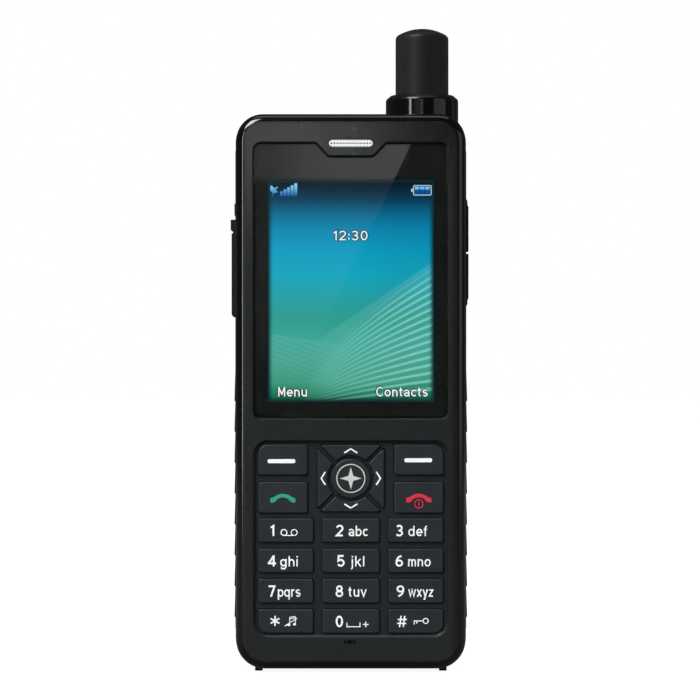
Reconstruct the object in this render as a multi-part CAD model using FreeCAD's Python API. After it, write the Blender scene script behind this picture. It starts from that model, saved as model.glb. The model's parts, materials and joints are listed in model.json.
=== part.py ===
import FreeCAD, Part
import math
import os

# Satellite phone handset, standing upright on its two foot ribs.  Millimetres.
# +X is to the right seen from the front, +Y is towards the back, +Z is up.
# The origin is at the middle of the footprint, on the surface that it stands on.

Vector = FreeCAD.Vector
X_AXIS = Vector(1, 0, 0)
Y_AXIS = Vector(0, 1, 0)
Z_AXIS = Vector(0, 0, 1)

# How far a cutting tool reaches past the surface that it cuts
PAST = 1.0

# Outer form
FRONT = -13.5
SPLIT = -6.0
BACK = 13.0
COVER_BACK = 13.5
HALF_WIDTH = 28.55
GRIP_HALF_WIDTH = 28.65
FACE_HALF_WIDTH = 28.2
BOTTOM = 0.4
TOP = 137.4
FACE_BOTTOM = 0.8
FACE_TOP = 137.0
TOP_RADIUS = 7.0
BOTTOM_RADIUS = 7.5
FACE_CORNER_INSET = 0.4
FACE_EDGE_RADIUS = 2.4
BACK_EDGE_RADIUS = 4.0
WALL_FACE = 1.6
WALL_SIDE = 2.7
WALL_BOTTOM = 3.0
WALL_TOP = 2.2
BACK_INNER = 11.2
BACK_INNER_RADIUS = 1.5
REAR_LOW_INNER_RADIUS = 5.1
REAR_HIGH_INNER_RADIUS = 4.8
SPLIT_EDGE_RADIUS = 0.5

# Foot ribs under both shells
FOOT_X = 22.7
FOOT_WIDTH = 1.8
FOOT_FRONT = -9.0
FOOT_BACK = 10.0
FOOT_OVERLAP = 0.6

# Seal in the joint between the shells
GROOVE_HALF_WIDTH = 27.7
GROOVE_Z = (1.3, 136.5)
GROOVE_WIDTH = 0.7
GROOVE_FRONT = 0.7
GROOVE_BACK = 0.5
GROOVE_LOW_RADIUS = 6.6
GROOVE_HIGH_RADIUS = 6.1

# Stack behind the face, as Y of each layer's front
FACE_INNER = -11.4
FACE_THROUGH = -10.9
LENS_FRONT = -13.3
LENS_SEAT = -12.3
LCD_FRONT = -11.3
LCD_GLASS_BACK = -9.9
LCD_BACK = -8.9
BOARD_FRONT = -8.0
BOARD_BACK = -6.8

# Display lens and window
LENS_HALF_WIDTH = 23.7
LENS_BOTTOM = 62.4
LENS_TOP = 129.7
LENS_CORNER = 1.6
LENS_EDGE_CHAMFER = 0.2
NOTCH_TOP_HALF = 8.7
NOTCH_FOOT_HALF = 5.5
NOTCH_DEPTH = 3.3
NOTCH_CORNER = 0.5
LENS_GAP = 0.15
LENS_RIM_CHAMFER = 0.25
WINDOW_HALF_WIDTH = 21.2
WINDOW_BOTTOM = 65.6
WINDOW_TOP = 121.4
WINDOW_CORNER = 0.5
LCD_HALF_WIDTH = 21.9
LCD_BOTTOM = 61.0
LCD_TOP = 125.0
LCD_CORNER = 0.4
LCD_FRAME_INSET = 0.3

# Earpiece and microphone openings
EARPIECE_Z = 129.7
EARPIECE_HALF_WIDTH = 5.35
EARPIECE_HEIGHT = 1.8
EARPIECE_HOLES = 14
EARPIECE_HOLE_PITCH = 0.71
EARPIECE_HOLE_RADIUS = 0.2
EARPIECE_SEAT = -12.7
EARPIECE_LEDGE = 0.4
GRILLE_FRONT = -13.25
GRILLE_PLAY = 0.03
SPEAKER_UNIT_HALF = (7.0, 3.4)
SPEAKER_UNIT_CORNER = 3.2
MIC_X = -0.2
MIC_Z = 7.5
MIC_WIDTH = 3.1
MIC_HEIGHT = 0.9
MIC_DEPTH = 0.5
MIC_HOLE_RADIUS = 0.4
MIC_RADIUS = 1.4
MIC_BACK = -9.9

# Keypad
RECESS_HALF_WIDTH = 23.4
RECESS_BOTTOM = 9.3
RECESS_TOP = 56.4
RECESS_CHAMFER = 0.6
RECESS_LOW_RADIUS = 3.2
RECESS_HIGH_RADIUS = 3.0
WEB_FRONT = -12.5
KEY_FRONT = -13.15
KEY_EDGE_RADIUS = 0.3
KEY_HOLE_GAP = 0.15
FLANGE_GROW = 0.35
FLANGE_FRONT = -11.3
FLANGE_BACK = -10.5
PLUNGER_RADIUS = 1.2
PLUNGER_END = -9.2
MEMBRANE_FRONT = -9.85
MEMBRANE_BACK = -9.1
MEMBRANE_Z = (9.0, 57.0)
MEMBRANE_HALF_WIDTH = 24.4
MEMBRANE_CORNER = 3.0
MEMBRANE_HOLE_GAP = 0.3
DOME_SHEET_FRONT = -8.25
DOME_HEIGHT = 0.4
DOME_RADIUS = 2.0
DIAL_ROWS_TOP = 34.85
DIAL_ROW_PITCH = 7.42
DIAL_KEY_HEIGHT = 5.9
OUTER_COLUMN_INNER_X = 9.15
KEYPAD_HALF_WIDTH = 22.7
CENTRE_COLUMN_HALF = 7.03
KEY_CORNER = 0.6
OUTSIDE_CORNER = 2.3
SIDE_KEY_INNER_X = 10.6
SOFT_KEY_Z = (48.4, 55.9)
CALL_KEY_Z = (39.1, 46.75)
PAD_Z = 47.6
PAD_HALF = 8.2
PAD_GAP = 0.95
PAD_INNER_RADIUS = 5.65
CENTRE_KEY_RADIUS = 4.85

# Antenna
ANTENNA_X = 17.9
ANTENNA_Y = 3.7
RADOME_RADIUS = 6.65
RADOME_WALL = 1.1
RADOME_BOTTOM = 82.2
RADOME_TOP = 159.7
RADOME_CROWN = 12.0
RADOME_EDGE_RADIUS = 1.3
RADOME_TOP_WALL = 3.0
PLUG_TOP = 88.0
ROD_RADIUS = 4.2
ROD_TOP = 154.0
RADIATOR_RADIUS = 4.9
RADIATOR_Z = (90.0, 152.0)
ANTENNA_FOOT = 79.4
STOP_RADIUS = 7.1
TUBE_INNER = 7.25
TUBE_OUTER = 7.75
TUBE_BOTTOM = 77.0
TUBE_FLOOR = 1.0
CONTACT_OUTER = 6.0
CONTACT_INNER = 4.4
CONTACT_PLAY = 0.3
COLLAR_RADIUS = 9.1
COLLAR_SHOULDER_RADIUS = 7.9
COLLAR_SHOULDER_HEIGHT = 1.0
COLLAR_RIM_RADIUS = 0.9
COLLAR_MOUTH_CHAMFER = 0.7
COLLAR_BORE = 6.75
COLLAR_BOTTOM = 132.4
COLLAR_TOP = 142.8

# Battery bay, pack and cover
BAY_HALF_WIDTH = 23.6
BAY_BOTTOM = 9.6
BAY_TOP = 69.3
BAY_FLOOR = 1.6
BAY_FLOOR_FRONT = 0.2
BAY_WALL_X = 26.2
LEDGE = 11.6
COVER_INNER = 11.7
COVER_HALF_WIDTH = 25.8
COVER_BOTTOM = 7.0
COVER_TOP = 71.9
TONGUE_HALF_WIDTH = 8.6
TONGUE_TOP = 80.5
COVER_GAP = 0.2
COVER_LOW_RADIUS = 4.8
COVER_HIGH_RADIUS = 3.8
COVER_EDGE_RADIUS = 1.1
TONGUE_OVERLAP = 6.0
TONGUE_LOW_RADIUS = 1.0
THUMB_GROOVES = 6
THUMB_GROOVE_Z = 16.0
THUMB_GROOVE_PITCH = 3.2
THUMB_GROOVE_WIDTH = 26.0
THUMB_GROOVE_STEP = 2.0
THUMB_GROOVE_HEIGHT = 1.0
THUMB_GROOVE_DEPTH = 0.4
SEAL_CENTRE_X = 24.7
SEAL_HALF = 0.45
SEAL_INSET = 1.3
SEAL_DEPTH = 0.8
SEAL_PROUD = 0.05
SEAL_OUTER_RADIUS = 2.2
SEAL_INNER_RADIUS = 1.3
PACK_HALF_WIDTH = 23.2
PACK_Y = (2.6, 10.4)
PACK_Z = (12.0, 68.9)
PACK_CORNER = 1.2
CONTACT_HALF_WIDTH = 7.0
CONTACT_Y = (3.6, 7.6)
PIN_PLACES = (-5.1, -1.7, 1.7, 5.1)
PIN_RADIUS = 0.5
CONTACT_TOP = 11.2
LOCK_Z = 75.3
LOCK_HEAD_RADIUS = 4.5
LOCK_HEAD_FRONT = 12.45
LOCK_SHANK_RADIUS = 2.0
LOCK_SHANK_FRONT = 7.0
LOCK_HOLE_FRONT = 6.6
LOCK_COLLAR_RADIUS = 2.8
LOCK_COLLAR_Y = (10.9, 11.5)
LOCK_COLLAR_ROOM = 3.2
LOCK_COLLAR_ROOM_FRONT = 10.6
LOCK_PLAY = 0.1
LOCK_HEAD_PLAY = 0.05
LOCK_SLOT_HALF = 0.8
LOCK_SLOT_FRONT = 12.9
LOCK_BLOCK_GROW = 0.4
LOCK_BLOCK_FRONT = 5.5
LOCK_BLOCK_RISE = 0.8

# Port cover and the sockets behind it
PORT_BOTTOM = 87.1
PORT_TOP = 111.4
PORT_OUTER_X = -29.6
PORT_INNER_X = -27.55
PORT_Y = (-4.5, 4.7)
PORT_GAP = 0.3
SOCKET_Y = 0.1
USB_Z = 105.6
HEADSET_Z = 97.2
DC_Z = 91.1
HEADSET_BORE_RADIUS = 1.8
HEADSET_BORE_END = -13.4
HEADSET_BLOCK = (2.7, 13.0, 2.5)
DC_BLOCK = (2.6, 8.0, 2.1)
DC_BORE_RADIUS = 1.75
DC_BORE_END = -20.0
DC_PIN_RADIUS = 0.55
DC_PIN_TIP = -26.6
SNOUT_TIP = -27.2
SOCKET_FACE = -25.4
SOCKET_BLOCK_FRONT = 2.5
HEADSET_HOLE_RADIUS = 2.9
DC_HOLE_RADIUS = 2.4
USB_HOLE_HALF = (2.0, 4.3)
USB_SHELL_X = (-26.0, -20.4)
USB_SHELL_HALF = (1.4, 3.75)
USB_SHELL_WALL = 0.3
USB_SHELL_EDGE_RADIUS = 0.5
USB_BACK_WALL = 0.6
USB_TONGUE_HALF = 2.15
USB_TONGUE_THICKNESS = 0.6
USB_BASE_HALF = 3.2
WALL_HOLE_X = (-29.0, -25.0)
PORT_FLOOR_PLAY = 0.1
PORT_LIP = 0.25
PORT_LIP_HEIGHT = 2.5
PORT_LIP_INSET = 0.4
PORT_RELIEF_DEPTH = 0.35
PORT_RELIEF_Z = (3.4, 2.7)
IO_BOARD_X = (-25.4, -11.5)
IO_BOARD_Y = 2.6
IO_BOARD_THICKNESS = 0.8
IO_BOARD_Z = (88.0, 111.0)

# Side grips and volume keys
GRIP_INNER_X = 27.4
GRIP_Y = (-5.2, 8.4)
GRIP_Z = (10.0, 128.5)
RIDGE_TOP = 73.9
RIDGE_PITCH = 7.65
RIDGE_COUNT = 8
RIDGE_STEP = 0.25
RIDGE_RAMP = 0.25
RIDGE_LIP = 0.02
GRIP_EDGE_RADIUS = 0.8
GUARD_RIB_Z = (112.5, 115.4)
VOLUME_Y = (-4.0, 1.0)
VOLUME_Z = (90.0, 116.5)
VOLUME_OUTER_X = 29.25
VOLUME_FLANGE_X = (26.2, 26.7)
VOLUME_FLANGE_GROW = 0.6
VOLUME_GAP = 0.2
VOLUME_POCKET_GROW = 0.9
VOLUME_POCKET_DEPTH = 0.1
VOLUME_POCKET_INNER_X = 25.0
VOLUME_SPLIT_HALF = 0.3
VOLUME_RAMP = (1.9, 1.4, 0.5)
VOLUME_RAMP_STEP = 0.25
VOLUME_FLANGE_AT_SPLIT = 0.1
VOLUME_PLUNGER_Y = -1.5
VOLUME_PLUNGER_RADIUS = 1.0
VOLUME_PLUNGER_TIP = 26.0
FLEX_X = (25.3, 25.55)
FLEX_BACK = 0.5
FLEX_INSET = 1.0

# Speaker and lanyard bar in the back
SPEAKER_X = -12.0
SPEAKER_Z = 104.0
SPEAKER_RADIUS = 9.5
SPEAKER_FRONT = 8.2
MAGNET_RADIUS = 6.0
MAGNET_FRONT = 5.6
SLOT_COUNT = 5
SLOT_PITCH = 2.6
SLOT_HALF_WIDTH = 0.6
SLOT_HALF_LENGTH = 5.5
SLOT_SHORTENING = 0.9
SLOT_END_RADIUS = 0.55
LANYARD_Y = 11.3
LANYARD_Z = 129.0
LANYARD_BAR_X = (-21.0, -13.0)
LANYARD_BAR_RADIUS = 0.8
LANYARD_POCKET_X = (-20.0, -14.0)
LANYARD_POCKET_FRONT = 8.0
LANYARD_POCKET_HALF = 2.5
LANYARD_BLOCK_X = (-21.5, -12.5)
LANYARD_BLOCK_FRONT = 6.5
LANYARD_BLOCK_HALF = 4.0
BLOCK_BACK = 11.8

# Boards and what sits on them
BOARD_HALF_WIDTH = 25.6
BOARD_BOTTOM = 8.0
BOARD_CORNER = 3.0
BOARD_NOTCH_GAP = 0.3
CAN_BACK = -4.3
CAN_EDGE_RADIUS = 0.6
UPPER_CAN = ((-20.0, 7.0), (82.0, 112.0))
LOWER_CAN = ((-21.0, 21.0), (18.0, 62.0))
PATCH_X = (-18.0, -6.0)
PATCH_Z = (113.0, 125.0)
PATCH_BACK = -2.8
PATCH_CHAMFER = 0.4
MOTOR_Y = 3.5
MOTOR_Z = 84.5
MOTOR_RADIUS = 2.2
MOTOR_X = (-22.0, -12.0)
WEIGHT_RADIUS = 1.9
WEIGHT_X = (-11.4, -8.4)
SHAFT_RADIUS = 0.4

# SIM tray in the floor of the bay
SIM_HALF_WIDTH = 14.0
SIM_Y = (0.9, 2.4)
SIM_Z = (30.0, 48.0)
SIM_SLOT_HALF_WIDTH = 12.5
SIM_SLOT_Y = (1.2, 2.0)
SIM_SLOT_BOTTOM = 31.5
SIM_WINDOW_HALF_WIDTH = 10.0
SIM_WINDOW_FRONT = 1.9
SIM_WINDOW_BOTTOM = 33.5

# Screws through the rear housing into the face
SCREW_PLACES = [(-19.5, 4.0), (19.5, 4.0), (-24.0, 74.6), (24.0, 74.6), (-22.0, 131.5)]
SCREW_RADIUS = 0.9
SCREW_HEAD_RADIUS = 1.7
SCREW_HEAD = (10.2, 11.5)
SCREW_TIP = -10.6
SCREW_PLAY = 0.1
SCREW_TIP_PLAY = 0.2
SCREW_SLOT_HALF = 0.175
SCREW_SLOT_REACH = 1.1
SCREW_SLOT_DEPTH = 0.6
BOSS_ROOT = 0.5
FRONT_BOSS_RADIUS = 1.9
REAR_BOSS_RADIUS = 2.1


def box(x_range, y_range, z_range):
    """Box between two values on each axis."""
    corner = Vector(x_range[0], y_range[0], z_range[0])
    size = [high - low for low, high in (x_range, y_range, z_range)]
    return Part.makeBox(size[0], size[1], size[2], corner)


def rod_y(x, z, radius, y_front, y_back):
    """Round rod along Y."""
    return Part.makeCylinder(radius, y_back - y_front, Vector(x, y_front, z), Y_AXIS)


def rod_z(x, y, radius, z_low, z_high):
    """Round rod along Z."""
    return Part.makeCylinder(radius, z_high - z_low, Vector(x, y, z_low), Z_AXIS)


def rod_x(y, z, radius, x_low, x_high):
    """Round rod along X."""
    return Part.makeCylinder(radius, x_high - x_low, Vector(x_low, y, z), X_AXIS)


def outline(points, radii):
    """Closed wire at y = 0 through (x, z) points, each corner rounded by its own radius."""
    corners = [Vector(x, 0, z) for x, z in points]
    starts = []
    middles = []
    ends = []
    for index, corner in enumerate(corners):
        before = (corners[index - 1] - corner).normalize()
        after = (corners[(index + 1) % len(corners)] - corner).normalize()
        half_angle = before.getAngle(after) / 2
        reach = radii[index] / math.tan(half_angle)
        inward = (before + after).normalize()
        depth = radii[index] / math.sin(half_angle) - radii[index]
        starts.append(corner + before * reach)
        middles.append(corner + inward * depth)
        ends.append(corner + after * reach)
    edges = []
    for index, radius in enumerate(radii):
        if radius > 0:
            edges.append(Part.Arc(starts[index], middles[index], ends[index]).toShape())
        following = starts[(index + 1) % len(radii)]
        if ends[index].distanceToPoint(following) > 1e-6:
            edges.append(Part.LineSegment(ends[index], following).toShape())
    return Part.Wire(edges)


def plate(points, radii, y_front, y_back):
    """Flat plate with a rounded outline, between two Y planes."""
    solid = Part.Face(outline(points, radii)).extrude(Vector(0, y_back - y_front, 0))
    solid.translate(Vector(0, y_front, 0))
    return solid


def corners_of(x_range, z_range):
    """Four corners, from the lower left, anticlockwise seen from the front."""
    left, right = x_range
    low, high = z_range
    return [(left, low), (right, low), (right, high), (left, high)]


def panel(half_width, z_range, y_range, low_radius, high_radius):
    """Plate centred on x = 0 with one radius at its lower and one at its upper corners."""
    points = corners_of((-half_width, half_width), z_range)
    radii = [low_radius, low_radius, high_radius, high_radius]
    return plate(points, radii, y_range[0], y_range[1])


def edges_at_y(shape, y):
    """Edges that lie wholly in one Y plane."""
    found = []
    for edge in shape.Edges:
        bounds = edge.BoundBox
        if abs(bounds.YMin - y) < 1e-4 and abs(bounds.YMax - y) < 1e-4:
            found.append(edge)
    return found


def edges_at_z(shape, z):
    """Edges that lie wholly in one Z plane."""
    found = []
    for edge in shape.Edges:
        bounds = edge.BoundBox
        if abs(bounds.ZMin - z) < 1e-4 and abs(bounds.ZMax - z) < 1e-4:
            found.append(edge)
    return found


def mirrored(shape):
    """The shape's twin on the other side of the YZ plane."""
    return shape.mirror(Vector(0, 0, 0), X_AXIS)


# ---- keypad profiles: each gives a plate of one key's outline, grown by a margin ----


def rectangle_profile(x_range, z_range, radii):
    """Profile of a four-cornered key."""
    def make(grow, y_front, y_back):
        wide = (x_range[0] - grow, x_range[1] + grow)
        tall = (z_range[0] - grow, z_range[1] + grow)
        grown = [radius + grow for radius in radii]
        return plate(corners_of(wide, tall), grown, y_front, y_back)
    return make


def round_profile(radius):
    """Profile of the round key in the middle of the direction pad."""
    def make(grow, y_front, y_back):
        return rod_y(0, PAD_Z, radius + grow, y_front, y_back)
    return make


def direction_profile(turn):
    """Profile of one direction key, turned from the upper one about the pad's centre."""
    def make(grow, y_front, y_back):
        outer = PAD_HALF + grow
        half_gap = PAD_GAP / math.sqrt(2) - grow * math.sqrt(2)
        inner = PAD_INNER_RADIUS / 2
        points = [(inner - half_gap, PAD_Z + inner), (outer - half_gap, PAD_Z + outer)]
        points += [(-x, z) for x, z in reversed(points)]
        wedge = plate(points, [0, KEY_CORNER / 2, KEY_CORNER / 2, 0], y_front, y_back)
        hub = rod_y(0, PAD_Z, PAD_INNER_RADIUS - grow, y_front - PAST, y_back + PAST)
        key = wedge.cut(hub)
        key.rotate(Vector(0, 0, PAD_Z), Y_AXIS, turn)
        return key
    return make


def dial_profiles():
    """Profiles of the twelve dial keys, row by row."""
    names = ["1", "2", "3", "4", "5", "6", "7", "8", "9", "star", "0", "hash"]
    columns = [
        (-KEYPAD_HALF_WIDTH, -OUTER_COLUMN_INNER_X),
        (-CENTRE_COLUMN_HALF, CENTRE_COLUMN_HALF),
        (OUTER_COLUMN_INNER_X, KEYPAD_HALF_WIDTH),
    ]
    profiles = {}
    for index, name in enumerate(names):
        row, column = divmod(index, 3)
        middle = DIAL_ROWS_TOP - row * DIAL_ROW_PITCH
        rows = (middle - DIAL_KEY_HEIGHT / 2, middle + DIAL_KEY_HEIGHT / 2)
        radii = [KEY_CORNER] * 4
        if name == "star":
            radii[0] = OUTSIDE_CORNER
        if name == "hash":
            radii[1] = OUTSIDE_CORNER
        profiles["key_" + name] = rectangle_profile(columns[column], rows, radii)
    return profiles


def upper_profiles():
    """Profiles of the soft, call and end keys and of the direction pad."""
    left = (-KEYPAD_HALF_WIDTH, -SIDE_KEY_INNER_X)
    right = (SIDE_KEY_INNER_X, KEYPAD_HALF_WIDTH)
    small = KEY_CORNER
    return {
        "soft_key_left": rectangle_profile(left, SOFT_KEY_Z, [small, small, small, OUTSIDE_CORNER]),
        "soft_key_right": rectangle_profile(right, SOFT_KEY_Z, [small, small, OUTSIDE_CORNER, small]),
        "call_key": rectangle_profile(left, CALL_KEY_Z, [small] * 4),
        "end_key": rectangle_profile(right, CALL_KEY_Z, [small] * 4),
        "nav_key_up": direction_profile(0),
        "nav_key_right": direction_profile(90),
        "nav_key_down": direction_profile(180),
        "nav_key_left": direction_profile(270),
        "nav_key_center": round_profile(CENTRE_KEY_RADIUS),
    }


KEY_PROFILES = {**upper_profiles(), **dial_profiles()}


def plunger_place(profile):
    """Middle of a key's area, where its plunger stands over its dome."""
    middle = profile(0, 0, 1).CenterOfGravity
    return middle.x, middle.z


def key(profile):
    """Key cap with a rounded rim, a retaining flange and a plunger."""
    cap = profile(0, KEY_FRONT, FLANGE_FRONT)
    cap = cap.makeFillet(KEY_EDGE_RADIUS, edges_at_y(cap, KEY_FRONT))
    flange = profile(FLANGE_GROW, FLANGE_FRONT, FLANGE_BACK)
    x, z = plunger_place(profile)
    plunger = rod_y(x, z, PLUNGER_RADIUS, FLANGE_BACK, PLUNGER_END)
    return cap.fuse([flange, plunger]).removeSplitter()


def keypad_membrane():
    """Silicone mat with a hole round each plunger."""
    corner = MEMBRANE_CORNER
    mat = panel(MEMBRANE_HALF_WIDTH, MEMBRANE_Z, (MEMBRANE_FRONT, MEMBRANE_BACK), corner, corner)
    holes = []
    for profile in KEY_PROFILES.values():
        x, z = plunger_place(profile)
        radius = PLUNGER_RADIUS + MEMBRANE_HOLE_GAP
        holes.append(rod_y(x, z, radius, MEMBRANE_FRONT - PAST, MEMBRANE_BACK + PAST))
    return mat.cut(holes)


def dome_sheet():
    """Adhesive sheet with one snap dome under each key."""
    corner = MEMBRANE_CORNER
    sheet = panel(MEMBRANE_HALF_WIDTH, MEMBRANE_Z, (DOME_SHEET_FRONT, BOARD_FRONT), corner, corner)
    ball_radius = (DOME_RADIUS ** 2 + DOME_HEIGHT ** 2) / (2 * DOME_HEIGHT)
    domes = []
    for profile in KEY_PROFILES.values():
        x, z = plunger_place(profile)
        centre = Vector(x, DOME_SHEET_FRONT - DOME_HEIGHT + ball_radius, z)
        ball = Part.makeSphere(ball_radius, centre)
        domes.append(ball.common(rod_y(x, z, DOME_RADIUS, DOME_SHEET_FRONT - PAST, BOARD_FRONT)))
    return sheet.fuse(domes).removeSplitter()


# ---- display ----


def lens_plate(grow, y_front, y_back):
    """Lens outline, stepped down at the top to go round the earpiece."""
    side = LENS_HALF_WIDTH + grow
    low = LENS_BOTTOM - grow
    high = LENS_TOP + grow
    step = high - NOTCH_DEPTH
    points = [
        (-side, low), (side, low), (side, high), (NOTCH_TOP_HALF - grow, high),
        (NOTCH_FOOT_HALF, step), (-NOTCH_FOOT_HALF, step), (-NOTCH_TOP_HALF + grow, high), (-side, high),
    ]
    corner = LENS_CORNER + grow
    radii = [corner] * 3 + [NOTCH_CORNER] * 4 + [corner]
    return plate(points, radii, y_front, y_back)


def display_lens():
    lens = lens_plate(0, LENS_FRONT, LENS_SEAT)
    return lens.makeChamfer(LENS_EDGE_CHAMFER, edges_at_y(lens, LENS_FRONT))


def lcd_module():
    """Glass with its backlight frame behind it."""
    corner = LCD_CORNER
    glass = panel(LCD_HALF_WIDTH, (LCD_BOTTOM, LCD_TOP), (LCD_FRONT, LCD_GLASS_BACK), corner, corner)
    inset = LCD_FRAME_INSET
    frame_z = (LCD_BOTTOM + inset, LCD_TOP - inset)
    frame = panel(LCD_HALF_WIDTH - inset, frame_z, (LCD_GLASS_BACK, LCD_BACK), corner, corner)
    return glass.fuse(frame).removeSplitter()


# ---- shells ----


def pill(x, z, width, height, y_front, y_back):
    """Slot with round ends, longer along X."""
    reach = width / 2
    half = height / 2
    points = corners_of((x - reach, x + reach), (z - half, z + half))
    return plate(points, [half - 1e-3] * 4, y_front, y_back)


def foot_ribs(y_front, y_back, top):
    """The pair of ribs that the handset stands on."""
    half = FOOT_WIDTH / 2
    ribs = []
    for x in (-FOOT_X, FOOT_X):
        ribs.append(box((x - half, x + half), (y_front, y_back), (0, top)))
    return ribs


def seal_groove():
    """Channel round the joint between the two shells."""
    y_range = (SPLIT - GROOVE_FRONT, SPLIT + GROOVE_BACK)
    outer = panel(GROOVE_HALF_WIDTH, GROOVE_Z, y_range, GROOVE_LOW_RADIUS, GROOVE_HIGH_RADIUS)
    inner_half = GROOVE_HALF_WIDTH - GROOVE_WIDTH
    inner_z = (GROOVE_Z[0] + GROOVE_WIDTH, GROOVE_Z[1] - GROOVE_WIDTH)
    low_radius = GROOVE_LOW_RADIUS - GROOVE_WIDTH
    high_radius = GROOVE_HIGH_RADIUS - GROOVE_WIDTH
    inner = panel(inner_half, inner_z, (SPLIT - PAST, SPLIT + PAST), low_radius, high_radius)
    return outer.cut(inner)


def front_cover():
    """Glossy face with its pockets, key web, screw bosses and foot ribs."""
    z_range = (FACE_BOTTOM, FACE_TOP)
    low_radius = BOTTOM_RADIUS - FACE_CORNER_INSET
    high_radius = TOP_RADIUS - FACE_CORNER_INSET
    shell = panel(FACE_HALF_WIDTH, z_range, (FRONT, SPLIT), low_radius, high_radius)
    shell = shell.makeFillet(FACE_EDGE_RADIUS, edges_at_y(shell, FRONT))
    wall = WALL_FACE
    inside = (FACE_BOTTOM + wall, FACE_TOP - wall)
    y_range = (FACE_INNER, SPLIT + PAST)
    cavity = panel(FACE_HALF_WIDTH - wall, inside, y_range, low_radius - wall, high_radius - wall)
    added = foot_ribs(FOOT_FRONT, SPLIT, FACE_BOTTOM + FOOT_OVERLAP)
    for x, z in SCREW_PLACES:
        added.append(rod_y(x, z, FRONT_BOSS_RADIUS, FACE_INNER - BOSS_ROOT, SPLIT))
    shell = shell.cut(cavity).fuse(added)
    shell = shell.cut(face_openings() + [seal_groove()]).removeSplitter()
    shell = shell.makeChamfer(LENS_RIM_CHAMFER, rim_edges(shell, LENS_BOTTOM - 1, LENS_TOP + 1))
    return shell.makeChamfer(RECESS_CHAMFER, rim_edges(shell, RECESS_BOTTOM - 1, RECESS_TOP + 1))


def rim_edges(shell, z_low, z_high):
    """Edges of the openings in the face between two heights."""
    found = []
    for edge in edges_at_y(shell, FRONT):
        bounds = edge.BoundBox
        inside = abs(bounds.XMin) < LENS_HALF_WIDTH + 1 and abs(bounds.XMax) < LENS_HALF_WIDTH + 1
        if inside and z_low < bounds.ZMin and bounds.ZMax < z_high:
            found.append(edge)
    return found


def face_openings():
    """Everything cut into the face: lens seat, window, keypad, earpiece, microphone, screws."""
    window_z = (WINDOW_BOTTOM, WINDOW_TOP)
    window_y = (LENS_SEAT - PAST, FACE_THROUGH)
    window = panel(WINDOW_HALF_WIDTH, window_z, window_y, WINDOW_CORNER, WINDOW_CORNER)
    recess_z = (RECESS_BOTTOM, RECESS_TOP)
    recess_y = (FRONT - PAST, WEB_FRONT)
    recess = panel(RECESS_HALF_WIDTH, recess_z, recess_y, RECESS_LOW_RADIUS, RECESS_HIGH_RADIUS)
    cuts = [lens_plate(LENS_GAP, FRONT - PAST, LENS_SEAT), window, recess]
    for profile in KEY_PROFILES.values():
        cuts.append(profile(KEY_HOLE_GAP, FRONT - PAST, FACE_THROUGH))
    width = 2 * EARPIECE_HALF_WIDTH
    ledge = 2 * EARPIECE_LEDGE
    cuts.append(pill(0, EARPIECE_Z, width, EARPIECE_HEIGHT, FRONT - PAST, EARPIECE_SEAT))
    ledge_front = EARPIECE_SEAT - EARPIECE_LEDGE
    cuts.append(pill(0, EARPIECE_Z, width - ledge, EARPIECE_HEIGHT - ledge, ledge_front, FACE_THROUGH))
    cuts.append(pill(MIC_X, MIC_Z, MIC_WIDTH, MIC_HEIGHT, FRONT - PAST, FRONT + MIC_DEPTH))
    cuts.append(rod_y(MIC_X, MIC_Z, MIC_HOLE_RADIUS, FRONT - PAST, FACE_THROUGH))
    for x, z in SCREW_PLACES:
        cuts.append(rod_y(x, z, SCREW_RADIUS, SCREW_TIP - SCREW_TIP_PLAY, SPLIT + PAST))
    return cuts


def battery_bay():
    """Walls and floor of the bay, and the block that takes the cover's lock."""
    tub = box((-BAY_WALL_X, BAY_WALL_X), (BAY_FLOOR_FRONT, LEDGE), (COVER_BOTTOM, COVER_TOP))
    half = TONGUE_HALF_WIDTH + LOCK_BLOCK_GROW
    block_z = (COVER_TOP - PAST, TONGUE_TOP + LOCK_BLOCK_RISE)
    return [tub, box((-half, half), (LOCK_BLOCK_FRONT, LEDGE), block_z)]


def cover_plate(gap, y_front, y_back):
    """Outline of the battery cover with its tongue, grown by a gap."""
    main_z = (COVER_BOTTOM - gap, COVER_TOP + gap)
    y_range = (y_front, y_back)
    main = panel(COVER_HALF_WIDTH + gap, main_z, y_range, COVER_LOW_RADIUS + gap, COVER_HIGH_RADIUS + gap)
    tongue_z = (COVER_TOP - TONGUE_OVERLAP, TONGUE_TOP + gap)
    high_radius = COVER_HIGH_RADIUS + gap
    tongue = panel(TONGUE_HALF_WIDTH + gap, tongue_z, y_range, TONGUE_LOW_RADIUS, high_radius)
    return main.fuse(tongue).removeSplitter()


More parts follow.
